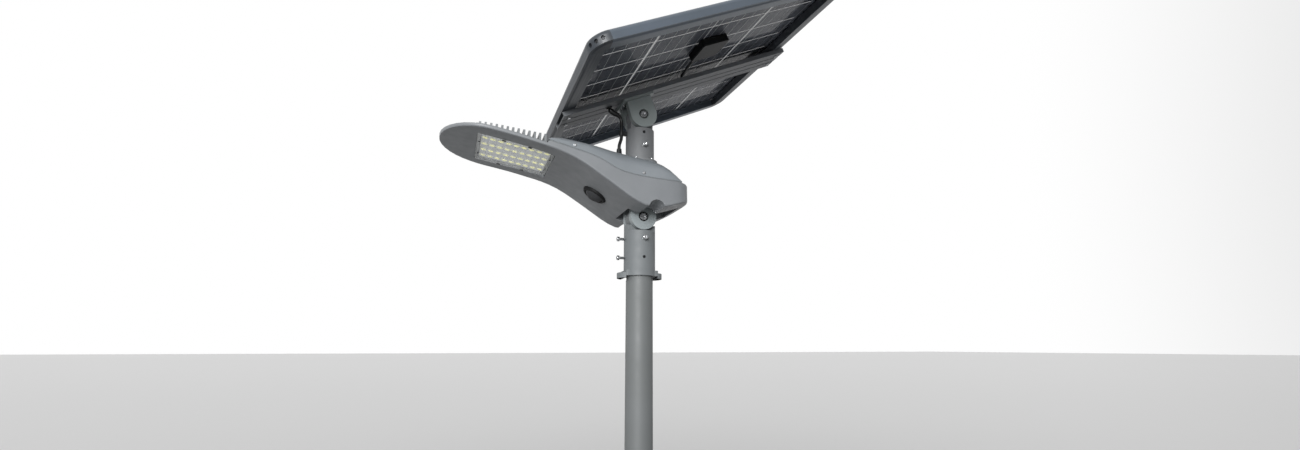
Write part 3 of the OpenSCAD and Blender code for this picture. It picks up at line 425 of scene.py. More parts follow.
class Palette:
    """The lamp's finishes, by what they are on the real object; some paints are drawn lighter or darker, as
    painted light and shade.
    """

    POLE = PowderCoat("pole_satin_paint", "#606364", 0.56, shade="#5b5e5e", cloud_mm=120.0)
    SLEEVE = PowderCoat("sleeve_cast_paint", "#626668", 0.6, shade="#5e6264")
    # Same cast paint as the sleeve, drawn lighter: painted light where the head shades the yoke
    YOKE_PAINTED_LIGHT = PowderCoat("yoke_paint_painted_light", "#7f8688", 0.46, shade="#798082")
    # Same cast paint as the cover, drawn a little darker: painted shade on the housing's underside
    HEAD_PAINTED_SHADE = PowderCoat("head_paint_painted_shade", "#6c6f72", 0.46, shade="#66696c")
    COVER = PowderCoat("cover_cast_paint", "#6f7478", 0.44, shade="#696e72")
    SINK = PowderCoat("sink_cast_paint", "#66696b", 0.5, shade="#5f6264")
    COLUMN = PowderCoat("column_cast_paint", "#646668", 0.6, shade="#606264")
    # Cast paint drawn lighter than the head's: painted light where the panel shades the bracket
    BRACKET_PAINTED_LIGHT = PowderCoat("bracket_paint_painted_light", "#767d7d", 0.46, shade="#6f7676")
    RAIL = Extrusion("rail_anodised", "#54575b", 0.5, 0.15, shade="#4e5154")
    FRAME_UP = Extrusion("frame_anodised_along", "#515963", 0.36, 0.4, shade="#4b535b")
    # Same anodised aluminium as the long bars, drawn darker: painted shade on the short bars' outer faces,
    # which the key lamp lights
    FRAME_CROSS_PAINTED_SHADE = Extrusion("frame_across_painted_shade", "#3f4349", 0.42, 0.3, shade="#393d42", across=True)
    CORNER = Moulded("corner_nylon", "#2b3036", 0.42, shade="#24292e")
    STEEL = TurnedSteel("screw_stainless", "#bcbec0", 0.24, 1.0)
    BLACKENED = TurnedSteel("screw_black_oxide", "#2c2d2f", 0.45, 0.7)
    LENS = ClearGlass("lens_polycarbonate", "#e6e9ea", 0.12, cover=0.22)
    OPTIC = ClearGlass("led_silicone_dome", "#f0f0c4", 0.2, cover=0.5, glow=0.3)
    GLASS = ClearGlass("panel_coated_glass", "#20242a", 0.01, cover=0.12, gloss_span=(0.0, 0.015), shine=0.0)
    BOARD = SolderMask("led_board_mask", "#eef0f4", 0.42, shade="#e2e5ea")
    PACKAGE = Moulded("led_package_white", "#f4f3ea", 0.4, shade="#eae9dd", grain_mm=1.0)
    PHOSPHOR = Finish("led_phosphor", "#efe890", 0.5, shade="#e8de78", cloud_mm=1.2, glow=0.5)
    CELL = Silicon("cell_silicon", "#5c6068", 0.5, shade="#565a62")
    RIBBON = TurnedSteel("ribbon_tinned_copper", "#f0f1f1", 0.45, 0.1)
    BUSBAR = TurnedSteel("busbar_silver_print", "#b8babc", 0.5, 0.2)
    PLASTIC = Moulded("black_nylon", "#17181a", 0.4, shade="#111214")
    RUBBER = Moulded("grey_rubber_moulded", "#6c7072", 0.7, shade="#64686a")
    JACKET = Moulded("cable_pvc_jacket", "#101112", 0.34, shade="#0c0d0e", grain_mm=2.0)
    SILICONE = Moulded("lens_silicone_gasket", "#b4b6b6", 0.55, shade="#a9abab")
    SENSOR = Moulded("sensor_window_dark", "#303133", 0.65, shade="#2b2c2e", shine=0.25)
    SENSOR_RING = Moulded("sensor_ring_black", "#0f1011", 0.6, shade="#0b0c0d", shine=0.2)
    JUNCTION = Moulded("junction_case_black", "#0e0f10", 0.5, shade="#0a0b0c", shine=0.2)
    WRAP = Moulded("battery_shrink_wrap", "#3f6f9a", 0.35, shade="#386690")
    GREEN = Moulded("controller_solder_mask", "#2f6b45", 0.35, shade="#285f3c")


# Finish of each node of the frame; the nodes left out are replaced by pieces with finishes of their own
NODE_FINISH = {node: finish for finish, nodes in {
    Palette.POLE: ("pole_top",),
    Palette.SLEEVE: ("spigot_sleeve", "cable_lugs"),
    Palette.YOKE_PAINTED_LIGHT: ("tilt_yoke",),
    Palette.HEAD_PAINTED_SHADE: ("lower_housing",),
    Palette.COVER: ("top_cover",),
    Palette.SINK: ("heat_sink",),
    Palette.COLUMN: ("column_spigot", "panel_column"),
    Palette.BRACKET_PAINTED_LIGHT: ("panel_bracket",),
    Palette.RAIL: ("panel_rail",),
    Palette.FRAME_UP: ("frame_near", "frame_far"),
    Palette.FRAME_CROSS_PAINTED_SHADE: ("frame_low", "frame_high"),
    Palette.CORNER: ("frame_corners",),
    Palette.STEEL: ("yoke_screws", "knuckle_bolt", "knuckle_nut", "spigot_screws", "bracket_bolt",
                    "bracket_nut", "bracket_screws"),
    Palette.PLASTIC: ("knuckle_washers", "bracket_washers", "lens_clips", "cable_gland", "cable_clip",
                      "rail_grommet"),
    Palette.LENS: ("lens_plate",),
    Palette.GLASS: ("back_glass", "front_glass"),
    Palette.BOARD: ("led_board",),
    Palette.CELL: ("solar_cells",),
    Palette.RIBBON: ("cell_ribbons",),
    Palette.RUBBER: ("cover_seal",),
    Palette.SILICONE: ("lens_gasket",),
    Palette.SENSOR: ("sensor_dome",),
    Palette.SENSOR_RING: ("sensor_base",),
    Palette.JUNCTION: ("junction_box", "junction_lid"),
    Palette.WRAP: ("battery_pack",),
    Palette.GREEN: ("charge_controller",),
}.items() for node in nodes}


def take_mesh(name: str, bm: BMesh) -> Mesh:
    """Turns a bmesh into a mesh and frees it.

    Args:
        name: The mesh's name.
        bm: The shape.

    Returns:
        The new mesh.
    """
    mesh = bpy.data.meshes.new(name)
    bm.to_mesh(mesh)
    bm.free()
    return mesh


def add_object(name: str, data: bpy.types.ID) -> Object:
    """Adds an object to the scene, at the origin.

    Args:
        name: The object's name.
        data: Its mesh, curve, camera or light.

    Returns:
        The new object.
    """
    made = bpy.data.objects.new(name, data)
    bpy.context.scene.collection.objects.link(made)
    return made


def make_piece(name: str, bm: BMesh, finishes: list[Finish], node: str, smooth_deg: float = 35.0,
               rides: bool = True) -> Object:
    """Turns a bmesh into a piece that belongs to a node of the frame.

    Args:
        name: The piece's name.
        bm: The shape in metres, which is freed.
        finishes: One finish for each material index of the shape.
        node: The node that gives the piece its body.
        smooth_deg: Edges sharper than this stay sharp in the shading.
        rides: Whether the piece rides on the node's body; of the cables, only the junction lead is attached
            later, to the panel.

    Returns:
        The new object, at the origin.
    """
    mesh = take_mesh(name, bm)
    mesh.shade_smooth()
    mesh.set_sharp_from_angle(angle=math.radians(smooth_deg))
    for finish in finishes:
        mesh.materials.append(finish.material())
    piece = add_object(name, mesh)
    if rides:
        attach(piece, BODIES[node])
    LOG.info("%s: %d faces on body %s", name, len(mesh.polygons), BODIES[node])
    return piece


def aim(point: Vector, direction: Vector) -> Matrix:
    """Returns the matrix that puts +Z along a direction, at a point."""
    return Matrix.Translation(point) @ direction.to_track_quat("Z", "Y").to_matrix().to_4x4()


def level(face: BMFace) -> float:
    """Returns the height of a face's middle."""
    return face.calc_center_median().z


def soften(node: str, width_mm: float, sharp_deg: float = 32.0, steps: int = 2) -> Object:
    """Makes a copy of a node with its sharp edges rounded, as a casting or moulding has them.

    Args:
        node: The node to copy.
        width_mm: How far each rounding reaches from its edge.
        sharp_deg: Edges that turn by more than this are rounded.
        steps: Faces across each rounding.

    Returns:
        The piece that replaces the node.
    """
    bm = bmesh.new()
    bm.from_mesh(frame["nodes"][node].data)
    bmesh.ops.remove_doubles(bm, verts=bm.verts, dist=MERGE_MM * MM)
    bmesh.ops.dissolve_limit(bm, angle_limit=math.radians(FLAT_DEG), verts=bm.verts, edges=bm.edges)
    sharp = [edge for edge in bm.edges
             if edge.is_manifold and edge.calc_face_angle(0.0) > math.radians(sharp_deg)]
    bmesh.ops.bevel(bm, geom=sharp, offset=width_mm * MM, offset_type="OFFSET", segments=steps,
                    profile=0.5, affect="EDGES", clamp_overlap=True, material=-1)
    piece = make_piece(node + "_edged", bm, [NODE_FINISH[node]], node)
    # Large faces keep their own normals, so that the roundings and holes don't smear their shading
    even = piece.modifiers.new("even_shading", "WEIGHTED_NORMAL")
    even.keep_sharp = True
    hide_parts(node)
    return piece


class Drive(Enum):
    """Shape of the recess in a screw's head, by its number of flats or wings."""

    HEX = 6
    CROSS = 4

    def reach(self, angle: float, size: float) -> float:
        """Works out how far a recess reaches.

        Args:
            angle: Direction from the screw's axis, in radians.
            size: The recess's largest reach.

        Returns:
            The reach at that angle.
        """
        sector = math.tau / self.value
        turned = abs((angle % sector) - sector / 2)
        if self is Drive.HEX:
            return size * math.cos(math.pi / 6) / math.cos(turned)
        return size * (CROSS_WAIST + (1 - CROSS_WAIST) * (turned / (sector / 2)) ** 3)


@dataclass(frozen=True)
class Screw:
    """A screw along +Z, its head's underside at 0, in millimetres."""

    head_r: float
    head_h: float
    shank_r: float
    length: float
    drive: Drive
    drive_r: float
    pitch: float = 0.0
    sides: int = 36
    finish: Finish = Palette.STEEL
    # Shares of the pitch: the thread's depth, its start above the tip, and the height of its ridge
    THREAD_DEPTH = 0.55
    THREAD_START = 0.3
    RIDGE = 0.8
    # How deep the ridge sits in the shank, how much the shank narrows to its tip, and steps in a turn
    RIDGE_SUNK = 0.1
    TIP_TAPER = 0.4
    TURN_STEPS = 18
    # Shares of the head's radius: its edge's rounding, which has a limit, and the rim round the recess
    ROUNDING = 0.2
    ROUNDING_LIMIT = 0.9
    RIM = 0.15
    # Depth of the recess as a share of the head's height, which counts up to a limit
    RECESS = 0.55
    RECESS_LIMIT = 6.0

    def shape(self) -> Mesh:
        """Makes the screw: head, recess and shank, or a grub screw where the head has no height.

        Returns:
            The screw's mesh, in millimetres.
        """
        bm = bmesh.new()
        if self.head_h:
            self.head(bm, 0.0, self.head_h, self.head_r)
            if self.length:
                self.shank(bm)
        else:
            self.head(bm, -self.length, self.length, self.shank_r)
        bmesh.ops.recalc_face_normals(bm, faces=bm.faces)
        return take_mesh("screw_shape", bm)

    def head(self, bm: BMesh, low: float, height: float, radius: float) -> None:
        """Adds a round head with a rounded rim and its drive recess.

        Args:
            bm: The screw's shape.
            low: Where the head's underside is.
            height: The head's height.
            radius: The head's radius.
        """
        made = bmesh.ops.create_cone(bm, cap_ends=True, segments=self.sides, radius1=radius, radius2=radius,
                                     depth=height, matrix=Matrix.Translation((0, 0, low + height / 2)))
        top = max({face for vert in made["verts"] for face in vert.link_faces}, key=level)
        bmesh.ops.bevel(bm, geom=list(top.edges), offset=min(self.ROUNDING_LIMIT, self.ROUNDING * radius),
                        offset_type="OFFSET", segments=3, profile=0.5, affect="EDGES", clamp_overlap=True,
                        material=-1)
        top = max((face for face in bm.faces if len(face.verts) == self.sides), key=level)
        bmesh.ops.inset_region(bm, faces=[top], thickness=self.RIM * radius, use_even_offset=True)
        for vert in top.verts:
            angle = math.atan2(vert.co.y, vert.co.x)
            reach = self.drive.reach(angle, self.drive_r)
            vert.co.x = reach * math.cos(angle)
            vert.co.y = reach * math.sin(angle)
        pit = bmesh.ops.extrude_discrete_faces(bm, faces=[top])["faces"][0]
        bmesh.ops.translate(bm, vec=(0, 0, -self.RECESS * min(height, self.RECESS_LIMIT)), verts=pit.verts)

    def shank(self, bm: BMesh) -> None:
        """Adds the shank and, given a pitch, its thread: a helical ridge, closed at both ends.

        Args:
            bm: The screw's shape.
        """
        core = self.shank_r - self.THREAD_DEPTH * self.pitch
        bmesh.ops.create_cone(bm, cap_ends=True, segments=self.sides, radius1=core - self.TIP_TAPER,
                              radius2=core, depth=self.length,
                              matrix=Matrix.Translation((0, 0, -self.length / 2)))
        if not self.pitch:
            return
        turns = max(1, int(self.length / self.pitch) - 1)
        start = -self.length + self.THREAD_START * self.pitch
        inner = core - self.RIDGE_SUNK
        corners = [bm.verts.new((radius, 0, start + rise * self.RIDGE * self.pitch))
                   for radius, rise in ((inner, 0.0), (self.shank_r, 0.5), (inner, 1.0))]
        ring = [bm.edges.new((corners[i], corners[(i + 1) % 3])) for i in range(3)]
        last = bmesh.ops.spin(bm, geom=corners + ring, cent=(0, 0, 0), axis=(0, 0, 1),
                              dvec=(0, 0, self.pitch / self.TURN_STEPS), angle=math.tau * turns,
                              steps=self.TURN_STEPS * turns, use_merge=False)["geom_last"]
        bm.faces.new(corners)
        bm.faces.new([item for item in last if isinstance(item, BMVert)])


def add_copy(bm: BMesh, shape: Mesh, place: Matrix, finish: int = 0) -> None:
    """Adds a copy of a shape to a bmesh.

    Args:
        bm: The bmesh, in metres.
        shape: The shape, in millimetres.
        place: Where the copy sits, in millimetres.
        finish: What is added to the shape's material indices.
    """
    verts, faces = len(bm.verts), len(bm.faces)
    bm.from_mesh(shape)
    bm.verts.ensure_lookup_table()
    bm.faces.ensure_lookup_table()
    bmesh.ops.transform(bm, matrix=TO_METRES @ place, verts=bm.verts[verts:])
    for face in bm.faces[faces:]:
        face.material_index += finish


def place_screws(name: str, node: str, places: list[tuple[Screw, Matrix]], stands_for: bool = True) -> None:
    """Makes one piece of many screws in place of a node, or beside it.

    Args:
        name: The piece's name.
        node: The node whose body the screws ride on.
        places: Each screw and where it sits, in millimetres.
        stands_for: Whether the piece replaces the node.
    """
    shapes = {screw: screw.shape() for screw, _ in places}
    finishes = list(dict.fromkeys(screw.finish for screw, _ in places))
    bm = bmesh.new()
    for screw, place in places:
        add_copy(bm, shapes[screw], place, finishes.index(screw.finish))
    bpy.data.batch_remove(shapes.values())
    piece = make_piece(name, bm, finishes, node, smooth_deg=40.0)
    if stands_for:
        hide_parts(node)


@dataclass(frozen=True)
class ClampScrews:
    """M8 screws that clamp a sleeve on the tube inside it, in millimetres."""

    sleeve_r: float
    tube_r: float
    screw_r: float = 4.0
    head_h: float = 6.0
    pitch: float = 1.6
    # Gap that a screw's tip leaves before the tube, and how far a grub screw lies under the surface
    tip_gap: float = 0.3
    sunk: float = 1.2

    def fit(self, out: Vector, row: float, reach: float = 0.0) -> tuple[Screw, Matrix]:
        """Makes a screw with a head, or a sunk grub screw where it has no reach.

        Args:
            out: Direction out of the sleeve.
            row: Height above the knuckle.
            reach: Where the head ends, beyond the sleeve.

        Returns:
            The screw and its place.
        """
        head_h = self.head_h if reach else 0.0
        seat = self.sleeve_r + (reach or -self.sunk) - head_h
        screw = Screw(head_r=1.5 * self.screw_r, head_h=head_h, shank_r=self.screw_r,
                      length=seat - self.tube_r - self.tip_gap, drive=Drive.HEX,
                      drive_r=(0.8 if reach else 0.55) * self.screw_r, pitch=self.pitch,
                      finish=Palette.STEEL if reach else Palette.BLACKENED)
        return screw, aim(out * seat + Vector((0, 0, KNUCKLE_Z + row)), out)

    def pairs(self, rows: Span, reach: float) -> list[tuple[Screw, Matrix]]:
        """Makes a clamp screw and a grub screw on each side of the sleeve.

        Args:
            rows: Heights of the clamp and the grub screws above the knuckle.
            reach: Where the clamp screws' heads end, beyond the sleeve.

        Returns:
            The screws and their places.
        """
        sides = (Vector((0, -1, 0)), Vector((0, 1, 0)))
        return [self.fit(out, *row) for out in sides for row in zip(rows, (reach, 0.0))]


@dataclass
class CableRun:
    """A held cable between two fittings, as a smooth jacketed tube, in millimetres."""

    name: str
    node: str
    points: list[Triple]
    diameter: float
    space: Matrix
    # Width of a strain relief boot over the run's last bend, as a share of the diameter
    boot: float = 1.0
    # Points on the smooth curve in each span, and extra points round each quarter of the tube
    SPAN_STEPS = 6
    ROUNDNESS = 5
    # Shares of the run: where the boot begins, and its taper up and down
    BOOT_START = 0.35
    BOOT_UP = 0.3
    BOOT_DOWN = 0.1

    def tube(self) -> Object:
        """Makes a round tube along the run.

        Returns:
            The piece, without a body.
        """
        curve = bpy.data.curves.new(self.name, "CURVE")
        curve.dimensions = "3D"
        curve.bevel_depth = self.diameter / 2 * MM
        curve.bevel_resolution = self.ROUNDNESS
        curve.use_fill_caps = True
        spots = self.smoothed()
        spline = curve.splines.new("POLY")
        spline.points.add(len(spots) - 1)
        for i, (target, spot) in enumerate(zip(spline.points, spots)):
            target.co = (*(self.space @ spot * MM), 1.0)
            target.radius = 1 + (self.boot - 1) * self.boot_share(i / (len(spots) - 1))
        drawn = add_object(self.name + "_line", curve)
        graph = bpy.context.evaluated_depsgraph_get()
        shape = bpy.data.meshes.new_from_object(drawn.evaluated_get(graph))
        bm = bmesh.new()
        bm.from_mesh(shape)
        bpy.data.batch_remove((shape, drawn, curve))
        # The curve's end caps are loose, so they are joined to the tube
        bmesh.ops.remove_doubles(bm, verts=bm.verts, dist=MERGE_MM * MM)
        bmesh.ops.recalc_face_normals(bm, faces=bm.faces)
        piece = make_piece(self.name, bm, [Palette.JACKET], self.node, smooth_deg=60.0, rides=False)
        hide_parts(self.node)
        return piece

    def boot_share(self, t: float) -> float:
        """Returns how much of the boot is there at a share of the run."""
        return max(0.0, min(1.0, (t - self.BOOT_START) / self.BOOT_UP, (1 - t) / self.BOOT_DOWN))

    def smoothed(self) -> list[Vector]:
        """Draws a smooth curve through the run's points.

        Returns:
            Closely spaced points on the curve.
        """
        given = [Vector(point) for point in self.points]
        ends = [2 * given[0] - given[1], *given, 2 * given[-1] - given[-2]]
        spots = []
        for a, b, c, d in zip(ends, ends[1:], ends[2:], ends[3:]):
            for i in range(self.SPAN_STEPS):
                t = i / self.SPAN_STEPS
                spots.append(0.5 * (2 * b + t * (c - a) + t * t * (2 * a - 5 * b + 4 * c - d)
                                    + t ** 3 * (3 * b - a - 3 * c + d)))
        return [*spots, given[-1]]


@dataclass
class Cables:
    """The panel cable from head to column to panel, and the lead of the junction box."""

    diameter: float = 8.5
    lead_diameter: float = 7.5
    boot: float = 1.7

    def build(self) -> None:
        """Makes the three runs; the junction lead rides on the panel."""
        axis = Matrix.Translation((0, 0, KNUCKLE_Z))
        low = CableRun("panel_cable_low", "lower_cable", [
            (-58, -4, 180), (-58, -4, 188), (-57, -4, 195), (-55, -4, 202), (-53, -4, 209),
            (-52, -4, 215), (-52, -4, 221)], self.diameter, axis)
        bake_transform(low.tube())
        high = CableRun("panel_cable_high", "upper_cable", [
            (-52, -4, 231), (-52, -4, 248), (-52.5, -4.5, 258), (-55.5, -5.5, 267), (-61.5, -7, 273),
            (-69, -8.5, 276), (-77, -9.5, 278.5), (-83, -10, 282.5), (-87, -10, 290)],
            self.diameter, axis, self.boot)
        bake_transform(high.tube())
        lead = CableRun("junction_cable", "junction_lead", [
            (151, -128.75, 73), (151, -116.5, 73), (149.5, -103.375, 72.5), (148.5, -90.25, 71.5),
            (147.5, -77.125, 70.5), (146.5, -64.875, 69.5), (145.5, -55.25, 68.5), (145, -46.5, 67),
            (144.5, -39.5, 64), (144, -35.125, 60)], self.lead_diameter, PANEL_SPACE)
        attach(lead.tube(), "panel")


@dataclass
class PoleGroup:
    """Sleeve on the pole, its cable lugs and its clamping screws."""

    screws: ClampScrews = ClampScrews(sleeve_r=40.0, tube_r=33.0)
    rows: Span = (-56.0, -104.0)
    front_reach: float = 20.0
    side_reach: float = 14.0

    def build(self) -> None:
        """Rounds the sleeve's edges and makes its screws."""
        soften("spigot_sleeve", 1.0)
        soften("cable_lugs", 2.3, steps=4)
        places = [self.screws.fit(Vector((-1, 0, 0)), row, self.front_reach) for row in self.rows]
        places += self.screws.pairs(self.rows, self.side_reach)
        place_screws("sleeve_clamp_screws", "sleeve_set_screws", places)


@dataclass
class HeadGroup:
    """Head castings, yoke, sensor and the cover's screws."""

    edges: tuple[tuple[str, float], ...] = (
        ("tilt_yoke", 1.2), ("lower_housing", 1.0), ("top_cover", 0.8), ("heat_sink", 0.6),
        ("sensor_base", 0.8), ("sensor_dome", 0.3), ("knuckle_bolt", 0.5), ("knuckle_nut", 0.5),
        ("column_spigot", 0.8), ("cable_gland", 0.6))
    screw: Screw = Screw(head_r=3.5, head_h=2.4, shank_r=2.0, length=6.0, drive=Drive.CROSS, drive_r=2.2,
                         sides=24)
    # Seats of the cover's screws: along the head and up, and how far out on each side
    screw_spots: tuple[Span, ...] = ((-200.0, 771.715), (-33.0, 720.669))
    screw_y: float = 138.6

    def build(self) -> None:
        """Rounds the castings' edges and makes the cover's screws."""
        for node, width in self.edges:
            soften(node, width)
        spots = [Vector((x, side * self.screw_y, z)) for x, z in self.screw_spots for side in (-1, 1)]
        place_screws("cover_side_screws", "cover_screws", [
            (self.screw, aim(spot, Vector((0, math.copysign(1, spot.y), 0)))) for spot in spots])


@dataclass
class LightEngine:
    """LED packages on their board, behind the clear lens plate."""

    slope_deg: float = 9.7
    columns: int = 9
    rows: int = 4
    board_length: float = 164.0
    board_width: float = 170.0
    board_t: float = 1.6
    # Package: its side, height and corner radius, the rim round its pad, and how deep the pad lies
    body: float = 10.0
    body_h: float = 1.2
    body_corner: float = 0.8
    pad_rim: float = 0.7
    pad_sunk: float = 0.25
    # Silicone dome over each package: along the head, across it, its height, and its gap
    dome: Triple = (7.4, 6.6, 1.5)
    dome_gap: float = 0.05
    # Outer face of the lens plate below the board's middle, and its end screws
    lens_face: float = -6.8
    end_screw_x: float = 84.5
    end_screw_y: float = 42.0
    end_screw: Screw = Screw(head_r=2.4, head_h=1.0, shank_r=1.4, length=1.5, drive=Drive.CROSS,
                             drive_r=1.5, sides=20, finish=Palette.BLACKENED)

    def build(self) -> None:
        """Makes the LEDs and the lens plate's screws, and rounds the plate's edges."""
        lens = soften("lens_plate", 0.6)
        lens.visible_shadow = False
        soften("lens_clips", 0.4)
        low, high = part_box("led_board")
        space = (Matrix.Translation((Vector(low) + Vector(high)) / 2 / MM)
                 @ Matrix.Rotation(math.radians(self.slope_deg), 4, "Y"))
        package, optic = self.package(), self.optic()
        bodies, optics = bmesh.new(), bmesh.new()
        for i in range(self.columns):
            for j in range(self.rows):
                x = ((i + 0.5) / self.columns - 0.5) * self.board_length
                y = ((j + 0.5) / self.rows - 0.5) * self.board_width
                place = space @ Matrix.Translation((x, y, -self.board_t / 2))
                add_copy(bodies, package, place)
                add_copy(optics, optic, place @ Matrix.Translation((0, 0, -self.body_h - self.dome_gap)))
        bpy.data.batch_remove((package, optic))
        packages = make_piece("led_packages", bodies, [Palette.PACKAGE, Palette.PHOSPHOR], "led_chips")
        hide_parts("led_chips")
        domes = make_piece("led_domes", optics, [Palette.OPTIC], "led_chips", smooth_deg=60.0)
        domes.visible_shadow = False
        corners = [Vector((x * self.end_screw_x, y * self.end_screw_y, self.lens_face))
                   for x in (-1, 1) for y in (-1, 1)]
        place_screws("lens_end_screws", "lens_clips", [
            (self.end_screw, space @ aim(corner, DOWN)) for corner in corners], stands_for=False)

    def optic(self) -> Mesh:
        """Makes one closed half dome.

        Returns:
            The dome, which hangs from the origin, in millimetres.
        """
        bm = bmesh.new()
        bmesh.ops.create_uvsphere(bm, u_segments=20, v_segments=10, radius=1.0)
        cut = bmesh.ops.bisect_plane(bm, geom=[*bm.verts, *bm.edges, *bm.faces], dist=1e-5,
                                     plane_co=(0, 0, 0), plane_no=(0, 0, 1), clear_outer=True)
        rim = [item for item in cut["geom_cut"] if isinstance(item, BMEdge)]
        bmesh.ops.contextual_create(bm, geom=rim)
        bmesh.ops.scale(bm, vec=self.dome, verts=bm.verts)
        return take_mesh("dome_shape", bm)

    def package(self) -> Mesh:
        """Makes one package: a white body with a recessed phosphor pad.

        Returns:
            The package, which hangs from the origin, in millimetres.
        """
        bm = bmesh.new()
        bmesh.ops.create_cube(bm, size=1.0, matrix=Matrix.Translation((0, 0, -self.body_h / 2))
                              @ Matrix.Diagonal((self.body, self.body, self.body_h, 1.0)))
        upright = [edge for edge in bm.edges
                   if abs(edge.verts[0].co.z - edge.verts[1].co.z) > 0.5 * self.body_h]
        bmesh.ops.bevel(bm, geom=upright, offset=self.body_corner, offset_type="OFFSET", segments=2,
                        profile=0.5, affect="EDGES", material=-1)
        face = min(bm.faces, key=level)
        bmesh.ops.inset_region(bm, faces=[face], thickness=self.pad_rim, use_even_offset=True)
        pad = bmesh.ops.extrude_discrete_faces(bm, faces=[face])["faces"][0]
        bmesh.ops.translate(bm, vec=(0, 0, self.pad_sunk), verts=pad.verts)
        pad.material_index = 1
        bmesh.ops.recalc_face_normals(bm, faces=bm.faces)
        return take_mesh("package_shape", bm)


@dataclass
class ColumnGroup:
    """Column between head and panel, with its clamping screws and cable clip."""

    screws: ClampScrews = ClampScrews(sleeve_r=37.5, tube_r=29.0)
    rows: Span = (190.0, 225.0)
    reach: float = 12.0

    def build(self) -> None:
        """Rounds the column's edges and makes its screws."""
        soften("panel_column", 1.0)
        soften("cable_clip", 0.8)
        place_screws("column_clamp_screws", "column_set_screws", self.screws.pairs(self.rows, self.reach))


@dataclass
class PanelGroup:
    """Solar panel: frame, laminate, rail, bracket, junction box and their screws."""

    middle_u: float = 140.0
    length: float = 700.0
    width: float = 780.0
    frame_w: float = 35.0
    # Corner pieces: radius, height out of the panel, their three screws' turns, and how deep these sit
    corner_r: float = 44.0
    corner_n: float = 74.6
    corner_turns: tuple[float, ...] = (24.0, 45.0, 66.0)
    corner_sunk: float = 5.0
    corner_screw: Screw = Screw(head_r=3.0, head_h=2.5, shank_r=1.5, length=0.0, drive=Drive.HEX,
                                drive_r=1.6, sides=24, finish=Palette.BLACKENED)
    rail_n: float = 50.0
    rail_w: float = 95.0
    rail_screw: Screw = Screw(head_r=4.5, head_h=3.0, shank_r=2.5, length=13.0, drive=Drive.HEX,
                              drive_r=2.4, sides=24)
    cell_columns: int = 4
    cell_rows: int = 9
    cell_pitch_u: float = 158.3
    cell_pitch_y: float = 78.69
    cell_length: float = 155.9
    cell_n: float = 84.2
    cell_t: float = 0.3
    # Busbars on each cell, and the pairs of ribbons between the columns of cells
    bars: int = 5
    bar_w: float = 1.3
    bar_t: float = 0.12
    ribbon_w: float = 1.8
    ribbon_apart: float = 5.0
    edges: tuple[tuple[str, float], ...] = (
        ("panel_bracket", 1.2), ("bracket_bolt", 0.5), ("bracket_nut", 0.5), ("panel_rail", 0.4),
        ("frame_low", 0.5), ("frame_high", 0.5), ("frame_near", 0.5), ("frame_far", 0.5),
        ("frame_corners", 0.6), ("junction_box", 1.0), ("junction_lid", 1.2), ("rail_grommet", 0.6))

    def build(self) -> None:
        """Rounds the edges and makes the busbars, ribbons and screws."""
        for node, width in self.edges:
            soften(node, width)
        for node in ("back_glass", "front_glass"):
            frame["nodes"][node].visible_shadow = False
        self.wires()
        self.screws()

    def wires(self) -> None:
        """Makes the busbars of the cells, and the ribbons between the columns of cells."""
        middles = [self.middle_u + (i - (self.cell_columns - 1) / 2) * self.cell_pitch_u
                   for i in range(self.cell_columns)]
        steps = [((bar + 0.5) / self.bars - 0.5) * self.cell_length for bar in range(self.bars)]
        bars = [u + step for u in middles for step in steps]
        self.strips("cell_busbars", Palette.BUSBAR, self.bar_w, bars)
        joins = [(a + b) / 2 for a, b in zip(middles, middles[1:])]
        pairs = [u + side * self.ribbon_apart / 2 for u in joins[::2] for side in (-1, 1)]
        ribbons = self.strips("string_ribbons", Palette.RIBBON, self.ribbon_w, [joins[1], *pairs])
        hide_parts("cell_ribbons")

    def strips(self, name: str, finish: Finish, width: float, spots: list[float]) -> Object:
        """Makes thin strips across the slope, on both faces of the cells.

        Args:
            name: The piece's name.
            finish: The strips' finish.
            width: Width of each strip.
            spots: Where each strip's middle lies up the slope.

        Returns:
            The piece.
        """
        bm = bmesh.new()
        run = self.cell_rows * self.cell_pitch_y
        for u in spots:
            for n in (self.cell_n - self.bar_t / 2, self.cell_n + self.cell_t + self.bar_t / 2):
                bmesh.ops.create_cube(bm, size=1.0, matrix=TO_METRES @ PANEL_SPACE
                                      @ Matrix.Translation((u, 0, n))
                                      @ Matrix.Diagonal((width, run, self.bar_t, 1.0)))
        return make_piece(name, bm, [finish], "cell_ribbons")

    def screws(self) -> None:
        """Makes the screws of the frame's corners and of the rail's ends."""
        places = []
        for i, (u, y) in enumerate(((1, 1), (-1, 1), (-1, -1), (1, -1))):
            hub = Vector((self.middle_u + u * (self.length / 2 - self.corner_r),
                          y * (self.width / 2 - self.corner_r), self.corner_n))
            for turn in self.corner_turns:
                angle = math.radians(turn + 90 * i)
                out = Vector((math.cos(angle), math.sin(angle), 0))
                spot = aim(hub + out * (self.corner_r - self.corner_sunk), out)
                places.append((self.corner_screw, PANEL_SPACE @ spot))
        place_screws("corner_socket_screws", "corner_screws", places)
        reach = self.length / 2 - self.frame_w / 2
        spots = [Vector((self.middle_u + end * reach, side * self.rail_w / 4, self.rail_n))
                 for end in (-1, 1) for side in (-1, 1)]
        place_screws("rail_end_screws", "rail_screws", [
            (self.rail_screw, PANEL_SPACE @ aim(spot, DOWN)) for spot in spots])


